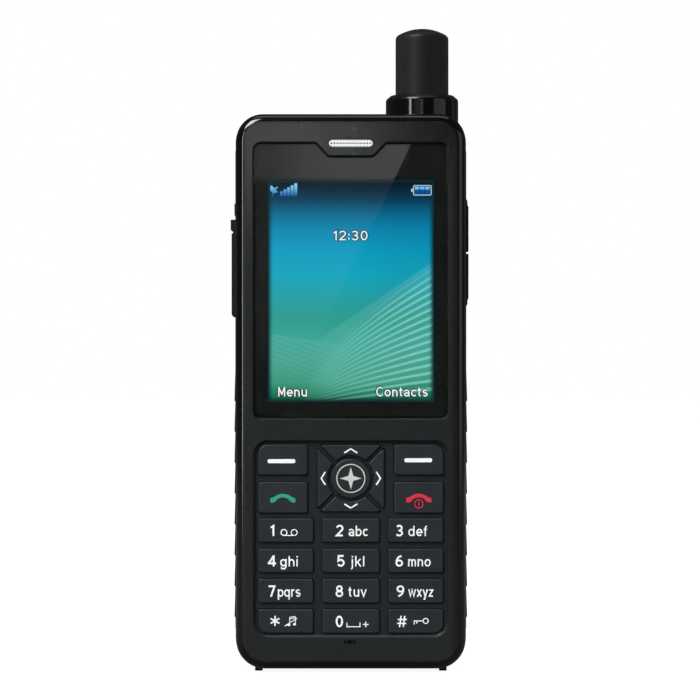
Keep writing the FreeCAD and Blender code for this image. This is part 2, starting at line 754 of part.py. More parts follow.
def rear_cuts():
    """Everything cut out of the rear housing."""
    behind = BACK + PAST
    bay = box((-BAY_HALF_WIDTH, BAY_HALF_WIDTH), (BAY_FLOOR, behind), (BAY_BOTTOM, BAY_TOP))
    seat = cover_plate(COVER_GAP, LEDGE, behind)
    cuts = [bay, seat, battery_seal(), seal_groove(), grip_pocket(), mirrored(grip_pocket())]
    cuts.append(rod_y(0, LOCK_Z, LOCK_SHANK_RADIUS + LOCK_PLAY, LOCK_HOLE_FRONT, BACK))
    cuts.append(rod_y(0, LOCK_Z, LOCK_COLLAR_ROOM, LOCK_COLLAR_ROOM_FRONT, BACK))
    cuts.append(box((-SIM_HALF_WIDTH, SIM_HALF_WIDTH), (SIM_Y[0], BAY_FLOOR + PAST), SIM_Z))
    cuts.append(rod_z(ANTENNA_X, ANTENNA_Y, TUBE_OUTER, TUBE_BOTTOM, COLLAR_BOTTOM + PAST))
    cuts.append(rod_z(ANTENNA_X, ANTENNA_Y, COLLAR_RADIUS, COLLAR_BOTTOM, TOP + PAST))
    for x, z in SCREW_PLACES:
        cuts.append(rod_y(x, z, SCREW_RADIUS + SCREW_PLAY, SPLIT - PAST, behind))
        cuts.append(rod_y(x, z, SCREW_HEAD_RADIUS + SCREW_PLAY, SCREW_HEAD[0], behind))
    return cuts + speaker_slots() + port_cuts() + volume_cuts() + lanyard_cuts()


def rear_housing():
    """Deep rear shell that carries the bay, the sockets' openings and the lanyard pocket."""
    shell = panel(HALF_WIDTH, (BOTTOM, TOP), (SPLIT, BACK), BOTTOM_RADIUS, TOP_RADIUS)
    shell = shell.makeFillet(BACK_EDGE_RADIUS, edges_at_y(shell, BACK))
    shell = shell.makeFillet(SPLIT_EDGE_RADIUS, edges_at_y(shell, SPLIT))
    inside = (BOTTOM + WALL_BOTTOM, TOP - WALL_TOP)
    inner_half = HALF_WIDTH - WALL_SIDE
    y_range = (SPLIT - PAST, BACK_INNER)
    cavity = panel(inner_half, inside, y_range, REAR_LOW_INNER_RADIUS, REAR_HIGH_INNER_RADIUS)
    cavity = cavity.makeFillet(BACK_INNER_RADIUS, edges_at_y(cavity, BACK_INNER))
    added = battery_bay() + foot_ribs(SPLIT, FOOT_BACK, BOTTOM + FOOT_OVERLAP)
    for x, z in SCREW_PLACES:
        added.append(rod_y(x, z, REAR_BOSS_RADIUS, SPLIT, BLOCK_BACK))
    block_z = (LANYARD_Z - LANYARD_BLOCK_HALF, LANYARD_Z + LANYARD_BLOCK_HALF)
    added.append(box(LANYARD_BLOCK_X, (LANYARD_BLOCK_FRONT, BLOCK_BACK), block_z))
    shell = shell.cut(cavity).fuse(added)
    return shell.cut(rear_cuts()).removeSplitter()


def speaker_slots():
    """Grille of the loudspeaker in the back wall."""
    slots = []
    for index in range(SLOT_COUNT):
        place = index - (SLOT_COUNT - 1) / 2
        x = SPEAKER_X + place * SLOT_PITCH
        half = SLOT_HALF_LENGTH - SLOT_SHORTENING * abs(place)
        wide = (x - SLOT_HALF_WIDTH, x + SLOT_HALF_WIDTH)
        corners = corners_of(wide, (SPEAKER_Z - half, SPEAKER_Z + half))
        slots.append(plate(corners, [SLOT_END_RADIUS] * 4, BACK_INNER - PAST, BACK + PAST))
    return slots


def lanyard_cuts():
    """Pocket behind the lanyard bar, and the bar's own hole."""
    half = LANYARD_POCKET_HALF
    y_range = (LANYARD_POCKET_FRONT, BACK + PAST)
    return [box(LANYARD_POCKET_X, y_range, (LANYARD_Z - half, LANYARD_Z + half)), lanyard_bar()]


def port_recess(floor_x):
    """Recess that the port cover lies in, down to a floor at floor_x."""
    y_range = (PORT_Y[0] - PORT_GAP, PORT_Y[1] + PORT_GAP)
    return box((PORT_OUTER_X - PAST, floor_x), y_range, (PORT_BOTTOM - PORT_GAP, PORT_TOP + PORT_GAP))


def port_cuts():
    """Recess under the port cover and the three openings in the side wall."""
    half_y, half_z = USB_HOLE_HALF
    usb = box(WALL_HOLE_X, (SOCKET_Y - half_y, SOCKET_Y + half_y), (USB_Z - half_z, USB_Z + half_z))
    headset = rod_x(SOCKET_Y, HEADSET_Z, HEADSET_HOLE_RADIUS, WALL_HOLE_X[0], WALL_HOLE_X[1])
    power = rod_x(SOCKET_Y, DC_Z, DC_HOLE_RADIUS, WALL_HOLE_X[0], WALL_HOLE_X[1])
    return [port_recess(PORT_INNER_X + PORT_FLOOR_PLAY), usb, headset, power]


def grown(value_range, amount):
    """Range widened by an amount at both ends."""
    return value_range[0] - amount, value_range[1] + amount


def volume_slot():
    """Opening in the side that the volume keys move in."""
    x_range = (VOLUME_PLUNGER_TIP, VOLUME_OUTER_X + PAST)
    return box(x_range, grown(VOLUME_Y, VOLUME_GAP), grown(VOLUME_Z, VOLUME_GAP))


def volume_cuts():
    """Slot for the volume keys and the pocket for their flanges."""
    x_range = (VOLUME_POCKET_INNER_X, VOLUME_FLANGE_X[1] + VOLUME_POCKET_DEPTH)
    grow = VOLUME_POCKET_GROW
    return [volume_slot(), box(x_range, grown(VOLUME_Y, grow), grown(VOLUME_Z, grow))]


def grip_pocket():
    """Shallow pocket in the right wall that the grip is bonded into."""
    return box((GRIP_INNER_X, HALF_WIDTH + PAST), GRIP_Y, GRIP_Z)


def grip_strip():
    """Rubber strip on the right side with its saw-tooth ridges below the middle."""
    low_z, high_z = GRIP_Z
    points = [(GRIP_INNER_X, low_z), (GRIP_HALF_WIDTH, low_z)]
    lowest = RIDGE_TOP - RIDGE_COUNT * RIDGE_PITCH
    for index in range(RIDGE_COUNT):
        low = lowest + index * RIDGE_PITCH
        points.append((GRIP_HALF_WIDTH, low - RIDGE_LIP))
        points.append((GRIP_HALF_WIDTH + RIDGE_STEP, low + RIDGE_RAMP))
    points += [(GRIP_HALF_WIDTH, RIDGE_TOP), (GRIP_HALF_WIDTH, high_z), (GRIP_INNER_X, high_z)]
    corners = [Vector(x, GRIP_Y[0], z) for x, z in points]
    face = Part.Face(Part.makePolygon(corners + [corners[0]]))
    strip = face.extrude(Vector(0, GRIP_Y[1] - GRIP_Y[0], 0))
    envelope = box((GRIP_INNER_X - PAST, GRIP_HALF_WIDTH + RIDGE_STEP), GRIP_Y, GRIP_Z)
    outer_edges = [edge for edge in envelope.Edges if edge.BoundBox.XMin > GRIP_HALF_WIDTH]
    return strip.common(envelope.makeFillet(GRIP_EDGE_RADIUS, outer_edges))


def side_grip_right():
    return grip_strip().cut(volume_slot())


def side_grip_left():
    """Left strip, with a guard rib over the port cover."""
    rib = box((GRIP_HALF_WIDTH - RIDGE_STEP, GRIP_HALF_WIDTH + RIDGE_STEP), PORT_Y, GUARD_RIB_Z)
    strip = mirrored(grip_strip().fuse(rib))
    return strip.cut(port_recess(-GRIP_INNER_X + PORT_FLOOR_PLAY)).removeSplitter()


def housing_screws():
    """Five identical screws, heads at the back."""
    head_front, head_back = SCREW_HEAD
    slot_y = (head_back - SCREW_SLOT_DEPTH, head_back + PAST)
    thin = SCREW_SLOT_HALF
    reach = SCREW_SLOT_REACH
    screws = []
    for x, z in SCREW_PLACES:
        shank = rod_y(x, z, SCREW_RADIUS, SCREW_TIP, head_front)
        head = rod_y(x, z, SCREW_HEAD_RADIUS, head_front, head_back)
        bars = [
            box((x - reach, x + reach), slot_y, (z - thin, z + thin)),
            box((x - thin, x + thin), slot_y, (z - reach, z + reach)),
        ]
        screws.append(shank.fuse(head).cut(bars).removeSplitter())
    return Part.makeCompound(screws)


# ---- antenna ----


def antenna_radome():
    """Hollow stub with a low dome on top."""
    crown_z = RADOME_TOP - RADOME_CROWN
    stub = rod_z(ANTENNA_X, ANTENNA_Y, RADOME_RADIUS, RADOME_BOTTOM, RADOME_TOP)
    crown = Part.makeSphere(RADOME_CROWN, Vector(ANTENNA_X, ANTENNA_Y, crown_z))
    lower = rod_z(ANTENNA_X, ANTENNA_Y, RADOME_RADIUS + PAST, RADOME_BOTTOM - PAST, crown_z)
    stub = stub.common(crown.fuse(lower)).removeSplitter()
    rim_z = crown_z + math.sqrt(RADOME_CROWN ** 2 - RADOME_RADIUS ** 2)
    stub = stub.makeFillet(RADOME_EDGE_RADIUS, edges_at_z(stub, rim_z))
    inner = RADOME_RADIUS - RADOME_WALL
    hollow = rod_z(ANTENNA_X, ANTENNA_Y, inner, RADOME_BOTTOM - PAST, RADOME_TOP - RADOME_TOP_WALL)
    return stub.cut(hollow)


def antenna_core():
    """Plug with the stop ring, and the rod that carries the radiator."""
    ring = rod_z(ANTENNA_X, ANTENNA_Y, STOP_RADIUS, ANTENNA_FOOT, RADOME_BOTTOM)
    plug = rod_z(ANTENNA_X, ANTENNA_Y, RADOME_RADIUS - RADOME_WALL, RADOME_BOTTOM, PLUG_TOP)
    rod = rod_z(ANTENNA_X, ANTENNA_Y, ROD_RADIUS, PLUG_TOP, ROD_TOP)
    return ring.fuse([plug, rod]).removeSplitter()


def antenna_radiator():
    """Thin printed copper sleeve on the rod."""
    low, high = RADIATOR_Z
    outer = rod_z(ANTENNA_X, ANTENNA_Y, RADIATOR_RADIUS, low, high)
    return outer.cut(rod_z(ANTENNA_X, ANTENNA_Y, ROD_RADIUS, low - PAST, high + PAST))


def antenna_guide_tube():
    """Tube inside the housing that the antenna slides in, closed at its foot."""
    outer = rod_z(ANTENNA_X, ANTENNA_Y, TUBE_OUTER, TUBE_BOTTOM, COLLAR_BOTTOM)
    bore_z = (TUBE_BOTTOM + TUBE_FLOOR, COLLAR_BOTTOM + PAST)
    return outer.cut(rod_z(ANTENNA_X, ANTENNA_Y, TUBE_INNER, bore_z[0], bore_z[1]))


def antenna_collar():
    """Collar at the top right, with a sloping shoulder and a chamfered mouth."""
    shoulder_z = COLLAR_TOP - COLLAR_SHOULDER_HEIGHT
    drum = rod_z(ANTENNA_X, ANTENNA_Y, COLLAR_RADIUS, COLLAR_BOTTOM, shoulder_z)
    seat = Vector(ANTENNA_X, ANTENNA_Y, shoulder_z)
    shoulder = Part.makeCone(COLLAR_RADIUS, COLLAR_SHOULDER_RADIUS, COLLAR_SHOULDER_HEIGHT, seat)
    collar = drum.fuse(shoulder).removeSplitter()
    collar = collar.makeFillet(COLLAR_RIM_RADIUS, edges_at_z(collar, shoulder_z))
    deep = COLLAR_MOUTH_CHAMFER
    mouth_seat = Vector(ANTENNA_X, ANTENNA_Y, COLLAR_TOP - deep)
    mouth = Part.makeCone(COLLAR_BORE, COLLAR_BORE + deep, deep, mouth_seat)
    bore = rod_z(ANTENNA_X, ANTENNA_Y, COLLAR_BORE, COLLAR_BOTTOM - PAST, COLLAR_TOP + PAST)
    return collar.cut([bore, mouth])


def antenna_contact():
    """Ring contact at the foot of the guide tube."""
    floor_z = TUBE_BOTTOM + TUBE_FLOOR
    outer = rod_z(ANTENNA_X, ANTENNA_Y, CONTACT_OUTER, floor_z, ANTENNA_FOOT - CONTACT_PLAY)
    return outer.cut(rod_z(ANTENNA_X, ANTENNA_Y, CONTACT_INNER, TUBE_BOTTOM, ANTENNA_FOOT))


# ---- battery ----


def battery_seal():
    """Ring round the bay under the cover."""
    low_z = COVER_BOTTOM + SEAL_INSET
    top_z = COVER_TOP - SEAL_INSET
    half = SEAL_HALF
    y_range = (LEDGE - SEAL_DEPTH, LEDGE + SEAL_PROUD)
    radius = SEAL_OUTER_RADIUS
    outer = panel(SEAL_CENTRE_X + half, (low_z - half, top_z + half), y_range, radius, radius)
    through = (LEDGE - PAST, LEDGE + PAST)
    radius = SEAL_INNER_RADIUS
    inner = panel(SEAL_CENTRE_X - half, (low_z + half, top_z - half), through, radius, radius)
    return outer.cut(inner)


def battery_pack():
    pack = box((-PACK_HALF_WIDTH, PACK_HALF_WIDTH), PACK_Y, PACK_Z)
    upright = [edge for edge in pack.Edges if edge.BoundBox.ZLength > 1]
    return pack.makeFillet(PACK_CORNER, upright)


def battery_connector():
    """Contact block at the foot of the bay with four sprung pins."""
    block = box((-CONTACT_HALF_WIDTH, CONTACT_HALF_WIDTH), CONTACT_Y, (BAY_BOTTOM, CONTACT_TOP))
    middle_y = (CONTACT_Y[0] + CONTACT_Y[1]) / 2
    pins = [rod_z(x, middle_y, PIN_RADIUS, CONTACT_TOP, PACK_Z[0]) for x in PIN_PLACES]
    return block.fuse(pins).removeSplitter()


def battery_cover():
    """Plate over the bay with a tongue at the top that takes the lock."""
    cover = cover_plate(0, COVER_INNER, COVER_BACK)
    cover = cover.makeFillet(COVER_EDGE_RADIUS, edges_at_y(cover, COVER_BACK))
    behind = COVER_BACK + PAST
    cuts = [
        rod_y(0, LOCK_Z, LOCK_HEAD_RADIUS + LOCK_PLAY, LOCK_HEAD_FRONT - LOCK_HEAD_PLAY, behind),
        rod_y(0, LOCK_Z, LOCK_SHANK_RADIUS + LOCK_PLAY, COVER_INNER - PAST, behind),
    ]
    for index in range(THUMB_GROOVES):
        z = THUMB_GROOVE_Z + index * THUMB_GROOVE_PITCH
        width = THUMB_GROOVE_WIDTH - THUMB_GROOVE_STEP * index
        cuts.append(pill(0, z, width, THUMB_GROOVE_HEIGHT, COVER_BACK - THUMB_GROOVE_DEPTH, behind))
    return cover.cut(cuts)


def cover_lock():
    """Quarter-turn fastener with a coin slot, held in the cover by its collar."""
    head = rod_y(0, LOCK_Z, LOCK_HEAD_RADIUS, LOCK_HEAD_FRONT, COVER_BACK - LOCK_PLAY)
    shank = rod_y(0, LOCK_Z, LOCK_SHANK_RADIUS, LOCK_SHANK_FRONT, LOCK_HEAD_FRONT)
    collar = rod_y(0, LOCK_Z, LOCK_COLLAR_RADIUS, LOCK_COLLAR_Y[0], LOCK_COLLAR_Y[1])
    slot_z = (LOCK_Z - LOCK_HEAD_RADIUS - PAST, LOCK_Z + LOCK_HEAD_RADIUS + PAST)
    slot = box((-LOCK_SLOT_HALF, LOCK_SLOT_HALF), (LOCK_SLOT_FRONT, COVER_BACK + PAST), slot_z)
    return head.fuse([shank, collar]).cut(slot).removeSplitter()


# ---- electronics ----


def main_board():
    corner = BOARD_CORNER
    board = panel(BOARD_HALF_WIDTH, (BOARD_BOTTOM, LCD_TOP), (BOARD_FRONT, BOARD_BACK), corner, corner)
    radius = FRONT_BOSS_RADIUS + BOARD_NOTCH_GAP
    notches = [rod_y(x, z, radius, BOARD_FRONT - PAST, BOARD_BACK + PAST) for x, z in SCREW_PLACES]
    return board.cut(notches)


def shield_cans():
    """Two tin boxes over the radio circuits."""
    cans = []
    for x_range, z_range in (UPPER_CAN, LOWER_CAN):
        can = box(x_range, (BOARD_BACK, CAN_BACK), z_range)
        cans.append(can.makeFillet(CAN_EDGE_RADIUS, edges_at_y(can, CAN_BACK)))
    return Part.makeCompound(cans)


def earpiece_grille():
    """Perforated strip over the earpiece."""
    width = 2 * (EARPIECE_HALF_WIDTH - GRILLE_PLAY)
    height = EARPIECE_HEIGHT - 2 * GRILLE_PLAY
    strip = pill(0, EARPIECE_Z, width, height, GRILLE_FRONT, EARPIECE_SEAT)
    holes = []
    for index in range(EARPIECE_HOLES):
        x = (index - (EARPIECE_HOLES - 1) / 2) * EARPIECE_HOLE_PITCH
        holes.append(rod_y(x, EARPIECE_Z, EARPIECE_HOLE_RADIUS, GRILLE_FRONT - PAST, EARPIECE_SEAT + PAST))
    return strip.cut(holes)


def earpiece_speaker():
    half_x, half_z = SPEAKER_UNIT_HALF
    corner = SPEAKER_UNIT_CORNER
    z_range = (EARPIECE_Z - half_z, EARPIECE_Z + half_z)
    return panel(half_x, z_range, (FACE_INNER, LCD_BACK), corner, corner)


def loudspeaker():
    """Round driver behind the back grille."""
    frame = rod_y(SPEAKER_X, SPEAKER_Z, SPEAKER_RADIUS, SPEAKER_FRONT, BACK_INNER)
    magnet = rod_y(SPEAKER_X, SPEAKER_Z, MAGNET_RADIUS, MAGNET_FRONT, SPEAKER_FRONT)
    return frame.fuse(magnet).removeSplitter()


def vibration_motor():
    """Cylinder motor with its half-round weight."""
    can = rod_x(MOTOR_Y, MOTOR_Z, MOTOR_RADIUS, MOTOR_X[0], MOTOR_X[1])
    weight = rod_x(MOTOR_Y, MOTOR_Z, WEIGHT_RADIUS, WEIGHT_X[0], WEIGHT_X[1])
    reach = WEIGHT_RADIUS + PAST
    y_range = (MOTOR_Y - reach, MOTOR_Y + reach)
    lower_half = box(grown(WEIGHT_X, SHAFT_RADIUS), y_range, (MOTOR_Z - reach, MOTOR_Z))
    shaft = rod_x(MOTOR_Y, MOTOR_Z, SHAFT_RADIUS, MOTOR_X[1], WEIGHT_X[1])
    return can.fuse([shaft, weight.cut(lower_half)]).removeSplitter()


def microphone():
    return rod_y(MIC_X, MIC_Z, MIC_RADIUS, FACE_INNER, MIC_BACK)


def gps_antenna():
    """Square patch antenna on the upper board."""
    patch = box(PATCH_X, (BOARD_BACK, PATCH_BACK), PATCH_Z)
    return patch.makeChamfer(PATCH_CHAMFER, edges_at_y(patch, PATCH_BACK))


def sim_holder():
    """Tray for a 25 by 15 mm card, open at its upper end."""
    holder = box((-SIM_HALF_WIDTH, SIM_HALF_WIDTH), SIM_Y, SIM_Z)
    above = SIM_Z[1] + PAST
    slot_x = (-SIM_SLOT_HALF_WIDTH, SIM_SLOT_HALF_WIDTH)
    slot = box(slot_x, SIM_SLOT_Y, (SIM_SLOT_BOTTOM, above))
    window_x = (-SIM_WINDOW_HALF_WIDTH, SIM_WINDOW_HALF_WIDTH)
    window = box(window_x, (SIM_WINDOW_FRONT, SIM_Y[1] + PAST), (SIM_WINDOW_BOTTOM, above))
    return holder.cut([slot, window])


def io_board():
    """Small board that carries the three sockets."""
    return box(IO_BOARD_X, (IO_BOARD_Y, IO_BOARD_Y + IO_BOARD_THICKNESS), IO_BOARD_Z)


def usb_socket():
    """Metal shell with its tongue."""
    left, right = USB_SHELL_X
    half_y, half_z = USB_SHELL_HALF
    wall = USB_SHELL_WALL
    shell_y = (SOCKET_Y - half_y, SOCKET_Y + half_y)
    shell = box(USB_SHELL_X, shell_y, (USB_Z - half_z, USB_Z + half_z))
    long_edges = [edge for edge in shell.Edges if edge.BoundBox.XLength > 1]
    shell = shell.makeFillet(USB_SHELL_EDGE_RADIUS, long_edges)
    mouth_z = (USB_Z - half_z + wall, USB_Z + half_z - wall)
    mouth = box((left - PAST, right - USB_BACK_WALL), (shell_y[0] + wall, shell_y[1] - wall), mouth_z)
    tongue_z = (USB_Z - USB_TONGUE_HALF, USB_Z + USB_TONGUE_HALF)
    tongue = box((SOCKET_FACE, right), (SOCKET_Y, SOCKET_Y + USB_TONGUE_THICKNESS), tongue_z)
    base_z = (USB_Z - USB_BASE_HALF, USB_Z + USB_BASE_HALF)
    base = box((SOCKET_FACE, right), (shell_y[1] - wall, IO_BOARD_Y), base_z)
    return shell.cut(mouth).fuse([tongue, base]).removeSplitter()


def round_socket(z, block):
    """Block on the small board with a round snout through the side wall."""
    half_height, depth, snout_radius = block
    y_range = (SOCKET_Y - SOCKET_BLOCK_FRONT, IO_BOARD_Y)
    body = box((SOCKET_FACE, SOCKET_FACE + depth), y_range, (z - half_height, z + half_height))
    return body.fuse(rod_x(SOCKET_Y, z, snout_radius, SNOUT_TIP, SOCKET_FACE))


def headset_socket():
    """3.5 mm jack socket, blind at its inner end."""
    bore = rod_x(SOCKET_Y, HEADSET_Z, HEADSET_BORE_RADIUS, SNOUT_TIP - PAST, HEADSET_BORE_END)
    return round_socket(HEADSET_Z, HEADSET_BLOCK).cut(bore).removeSplitter()


def dc_socket():
    """Round power socket with its centre pin."""
    mouth = rod_x(SOCKET_Y, DC_Z, DC_BORE_RADIUS, SNOUT_TIP - PAST, DC_BORE_END)
    pin = rod_x(SOCKET_Y, DC_Z, DC_PIN_RADIUS, DC_PIN_TIP, DC_BORE_END)
    return round_socket(DC_Z, DC_BLOCK).cut(mouth).fuse(pin).removeSplitter()


def port_cover():
    """Rubber flap with a round hinge end below and a finger lip above."""
    middle_x = (PORT_OUTER_X + PORT_INNER_X) / 2
    radius = (PORT_INNER_X - PORT_OUTER_X) / 2
    pivot_z = PORT_BOTTOM + radius
    knuckle = rod_y(middle_x, pivot_z, radius, PORT_Y[0], PORT_Y[1])
    leaf = box((PORT_OUTER_X, PORT_INNER_X), PORT_Y, (pivot_z, PORT_TOP))
    lip_x = (PORT_OUTER_X - PORT_LIP, middle_x)
    lip = box(lip_x, grown(PORT_Y, -PORT_LIP_INSET), (PORT_TOP - PORT_LIP_HEIGHT, PORT_TOP))
    relief_x = (PORT_OUTER_X - PAST, PORT_OUTER_X + PORT_RELIEF_DEPTH)
    relief = box(relief_x, PORT_Y, (PORT_TOP - PORT_RELIEF_Z[0], PORT_TOP - PORT_RELIEF_Z[1]))
    return knuckle.fuse([leaf, lip]).cut(relief).removeSplitter()


def volume_key(z_range, ramp_up):
    """Rocker half with a two-step ramp at its outer end."""
    low, high = z_range
    inner = VOLUME_FLANGE_X[1]
    outer = VOLUME_OUTER_X
    stepped = outer - VOLUME_RAMP_STEP
    first, second, third = [high - drop for drop in VOLUME_RAMP]
    profile = [(inner, low), (outer, low), (outer, first), (stepped, second)]
    profile += [(stepped, third), (stepped - VOLUME_RAMP_STEP, high), (inner, high)]
    flange_low = low - VOLUME_FLANGE_AT_SPLIT
    flange_high = high + VOLUME_FLANGE_GROW
    if not ramp_up:
        profile = [(x, low + high - z) for x, z in profile]
        flange_low = low - VOLUME_FLANGE_GROW
        flange_high = high + VOLUME_FLANGE_AT_SPLIT
    corners = [Vector(x, VOLUME_Y[0], z) for x, z in profile]
    face = Part.Face(Part.makePolygon(corners + [corners[0]]))
    cap = face.extrude(Vector(0, VOLUME_Y[1] - VOLUME_Y[0], 0))
    flange = box(VOLUME_FLANGE_X, grown(VOLUME_Y, VOLUME_FLANGE_GROW), (flange_low, flange_high))
    middle = (low + high) / 2
    plunger_x = (VOLUME_PLUNGER_TIP, VOLUME_FLANGE_X[0])
    plunger = rod_x(VOLUME_PLUNGER_Y, middle, VOLUME_PLUNGER_RADIUS, plunger_x[0], plunger_x[1])
    return cap.fuse([flange, plunger]).removeSplitter()


def side_key_flex():
    """Flexible strip with the two volume switches."""
    return box(FLEX_X, (BOARD_BACK, FLEX_BACK), grown(VOLUME_Z, -FLEX_INSET))


def lanyard_bar():
    return rod_x(LANYARD_Y, LANYARD_Z, LANYARD_BAR_RADIUS, LANYARD_BAR_X[0], LANYARD_BAR_X[1])


def volume_keys():
    """The two volume keys, one above the other."""
    middle = (VOLUME_Z[0] + VOLUME_Z[1]) / 2
    return {
        "volume_up_key": volume_key((middle + VOLUME_SPLIT_HALF, VOLUME_Z[1]), True),
        "volume_down_key": volume_key((VOLUME_Z[0], middle - VOLUME_SPLIT_HALF), False),
    }


def all_parts():
    """Every node's solid, by name."""
    makers = [
        front_cover, rear_housing, side_grip_left, side_grip_right, housing_screws,
        display_lens, lcd_module, earpiece_grille, earpiece_speaker, microphone,
        keypad_membrane, dome_sheet, main_board, shield_cans, gps_antenna,
        antenna_radome, antenna_core, antenna_radiator, antenna_guide_tube, antenna_collar, antenna_contact,
        battery_pack, battery_connector, battery_cover, cover_lock, sim_holder,
        loudspeaker, vibration_motor, io_board, usb_socket, headset_socket, dc_socket,
        port_cover, side_key_flex, lanyard_bar, battery_seal,
    ]
    parts = {maker.__name__: maker() for maker in makers}
    parts["housing_seal"] = seal_groove()
    parts.update(volume_keys())
    for name, profile in KEY_PROFILES.items():
        parts[name] = key(profile)
    return parts


def main():
    os.makedirs("parts", exist_ok=True)
    for name, shape in all_parts().items():
        shape.exportStep("parts/" + name + ".step")


main()
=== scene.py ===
import json
import math

import bmesh
import bpy
from mathutils import Matrix, Vector

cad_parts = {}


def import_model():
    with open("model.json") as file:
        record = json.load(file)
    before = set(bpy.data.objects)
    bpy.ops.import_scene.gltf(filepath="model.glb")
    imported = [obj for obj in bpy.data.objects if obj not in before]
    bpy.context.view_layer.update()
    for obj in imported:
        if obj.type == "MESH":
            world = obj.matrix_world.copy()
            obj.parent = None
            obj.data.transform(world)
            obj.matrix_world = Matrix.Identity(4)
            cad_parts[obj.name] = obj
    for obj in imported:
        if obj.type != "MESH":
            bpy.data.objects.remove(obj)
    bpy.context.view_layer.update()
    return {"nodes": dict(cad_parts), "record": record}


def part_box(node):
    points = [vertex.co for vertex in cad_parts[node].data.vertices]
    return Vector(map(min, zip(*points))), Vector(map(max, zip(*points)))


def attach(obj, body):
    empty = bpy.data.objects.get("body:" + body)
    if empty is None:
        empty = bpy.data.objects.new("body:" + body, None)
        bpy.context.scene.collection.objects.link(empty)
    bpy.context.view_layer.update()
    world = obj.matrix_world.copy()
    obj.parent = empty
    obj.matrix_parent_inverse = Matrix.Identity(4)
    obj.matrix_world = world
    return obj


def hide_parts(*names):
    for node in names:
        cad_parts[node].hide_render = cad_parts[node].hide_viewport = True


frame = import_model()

MM = 0.001

# Camera: looks along +Y from in front of the keypad, level with the middle of the handset.
CAMERA_DISTANCE = 0.65
CAMERA_HEIGHT = 0.07905
CAMERA_X = -0.0002
VIEW_WIDTH = 0.175
SENSOR = 36.0


# ---- small helpers for node materials ----


class Shader:
    """A node material with one Principled shader, and short calls that add nodes to it."""

    def __init__(self, name, metallic=0.0, roughness=0.5, coat=0.0, coat_roughness=0.05):
        self.material = bpy.data.materials.new(name)
        self.material.use_nodes = True
        self.tree = self.material.node_tree
        self.principled = self.tree.nodes["Principled BSDF"]
        self.set("Metallic", metallic)
        self.set("Roughness", roughness)
        self.set("Coat Weight", coat)
        self.set("Coat Roughness", coat_roughness)
        self.place = self.node("ShaderNodeTexCoord").outputs["Object"]

    def set(self, socket, value):
        """Sets a Principled socket to a number, a colour or another node's output."""
        self.feed(self.principled.inputs[socket], value)

    def feed(self, socket, value):
        if isinstance(value, bpy.types.NodeSocket):
            self.tree.links.new(value, socket)
        elif isinstance(value, (tuple, list)) and len(value) == 3 and socket.type == "RGBA":
            socket.default_value = (*value, 1.0)
        else:
            socket.default_value = value

    def node(self, kind, **inputs):
        made = self.tree.nodes.new(kind)
        for name, value in inputs.items():
            self.feed(made.inputs[name], value)
        return made

    def math(self, operation, first, second=0.0, third=0.0):
        made = self.tree.nodes.new("ShaderNodeMath")
        made.operation = operation
        for socket, value in zip(made.inputs, (first, second, third)):
            self.feed(socket, value)
        return made.outputs[0]

    def both(self, first, second):
        """Product of two masks."""
        return self.math("MULTIPLY", first, second)

    def either(self, first, second):
        """Larger of two masks."""
        return self.math("MAXIMUM", first, second)

    def axes(self):
        """The place's x, y and z, in metres."""
        split = self.tree.nodes.new("ShaderNodeSeparateXYZ")
        self.feed(split.inputs[0], self.place)
        return split.outputs

    def noise(self, scale, detail=3.0, roughness=0.5, stretch=(1.0, 1.0, 1.0)):
        """Noise value, with scale in features per metre."""
        mapping = self.tree.nodes.new("ShaderNodeMapping")
        self.feed(mapping.inputs["Vector"], self.place)
        mapping.inputs["Scale"].default_value = stretch
        texture = self.tree.nodes.new("ShaderNodeTexNoise")
        self.feed(texture.inputs["Vector"], mapping.outputs[0])
        texture.inputs["Scale"].default_value = scale
        texture.inputs["Detail"].default_value = detail
        texture.inputs["Roughness"].default_value = roughness
        return texture.outputs[0]

    def cells(self, scale):
        """Distance to the nearest cell middle, with scale in cells per metre."""
        texture = self.tree.nodes.new("ShaderNodeTexVoronoi")
        self.feed(texture.inputs["Vector"], self.place)
        texture.inputs["Scale"].default_value = scale
        return texture.outputs["Distance"]

    def band(self, value, low, high, to_low=0.0, to_high=1.0, smooth=True):
        """Maps a range of values to another, clamped."""
        made = self.tree.nodes.new("ShaderNodeMapRange")
        made.interpolation_type = "SMOOTHSTEP" if smooth else "LINEAR"
        sockets = ("Value", "From Min", "From Max", "To Min", "To Max")
        for name, number in zip(sockets, (value, low, high, to_low, to_high)):
            self.feed(made.inputs[name], number)
        return made.outputs["Result"]

    def mix(self, amount, first, second, blend="MIX"):
        """Mixes two colours."""
        made = self.tree.nodes.new("ShaderNodeMix")
        made.data_type = "RGBA"
        made.blend_type = blend
        self.feed(made.inputs["Factor"], amount)
        self.feed(made.inputs[6], first)
        self.feed(made.inputs[7], second)
        return made.outputs[2]

    def ramp(self, value, stops):
        """Colour ramp through (position, colour) stops."""
        made = self.tree.nodes.new("ShaderNodeValToRGB")
        self.feed(made.inputs[0], value)
        elements = made.color_ramp.elements
        while len(elements) < len(stops):
            elements.new(0.5)
        for element, (position, colour) in zip(elements, stops):
            element.position = position
            element.color = (*colour, 1.0)
        return made.outputs[0]

    def bump(self, height, strength, distance):
        """Bump from a height value, with distance in metres."""
        made = self.tree.nodes.new("ShaderNodeBump")
        made.inputs["Strength"].default_value = strength
        made.inputs["Distance"].default_value = distance
        self.feed(made.inputs["Height"], height)
        self.set("Normal", made.outputs[0])


def rgb(red, green, blue):
    """Linear colour from display values of 0 to 255."""
    def linear(value):
        share = value / 255
        return share / 12.92 if share <= 0.04045 else ((share + 0.055) / 1.055) ** 2.4
    return (linear(red), linear(green), linear(blue))


def scaled(colour, factor):
    return tuple(channel * factor for channel in colour)


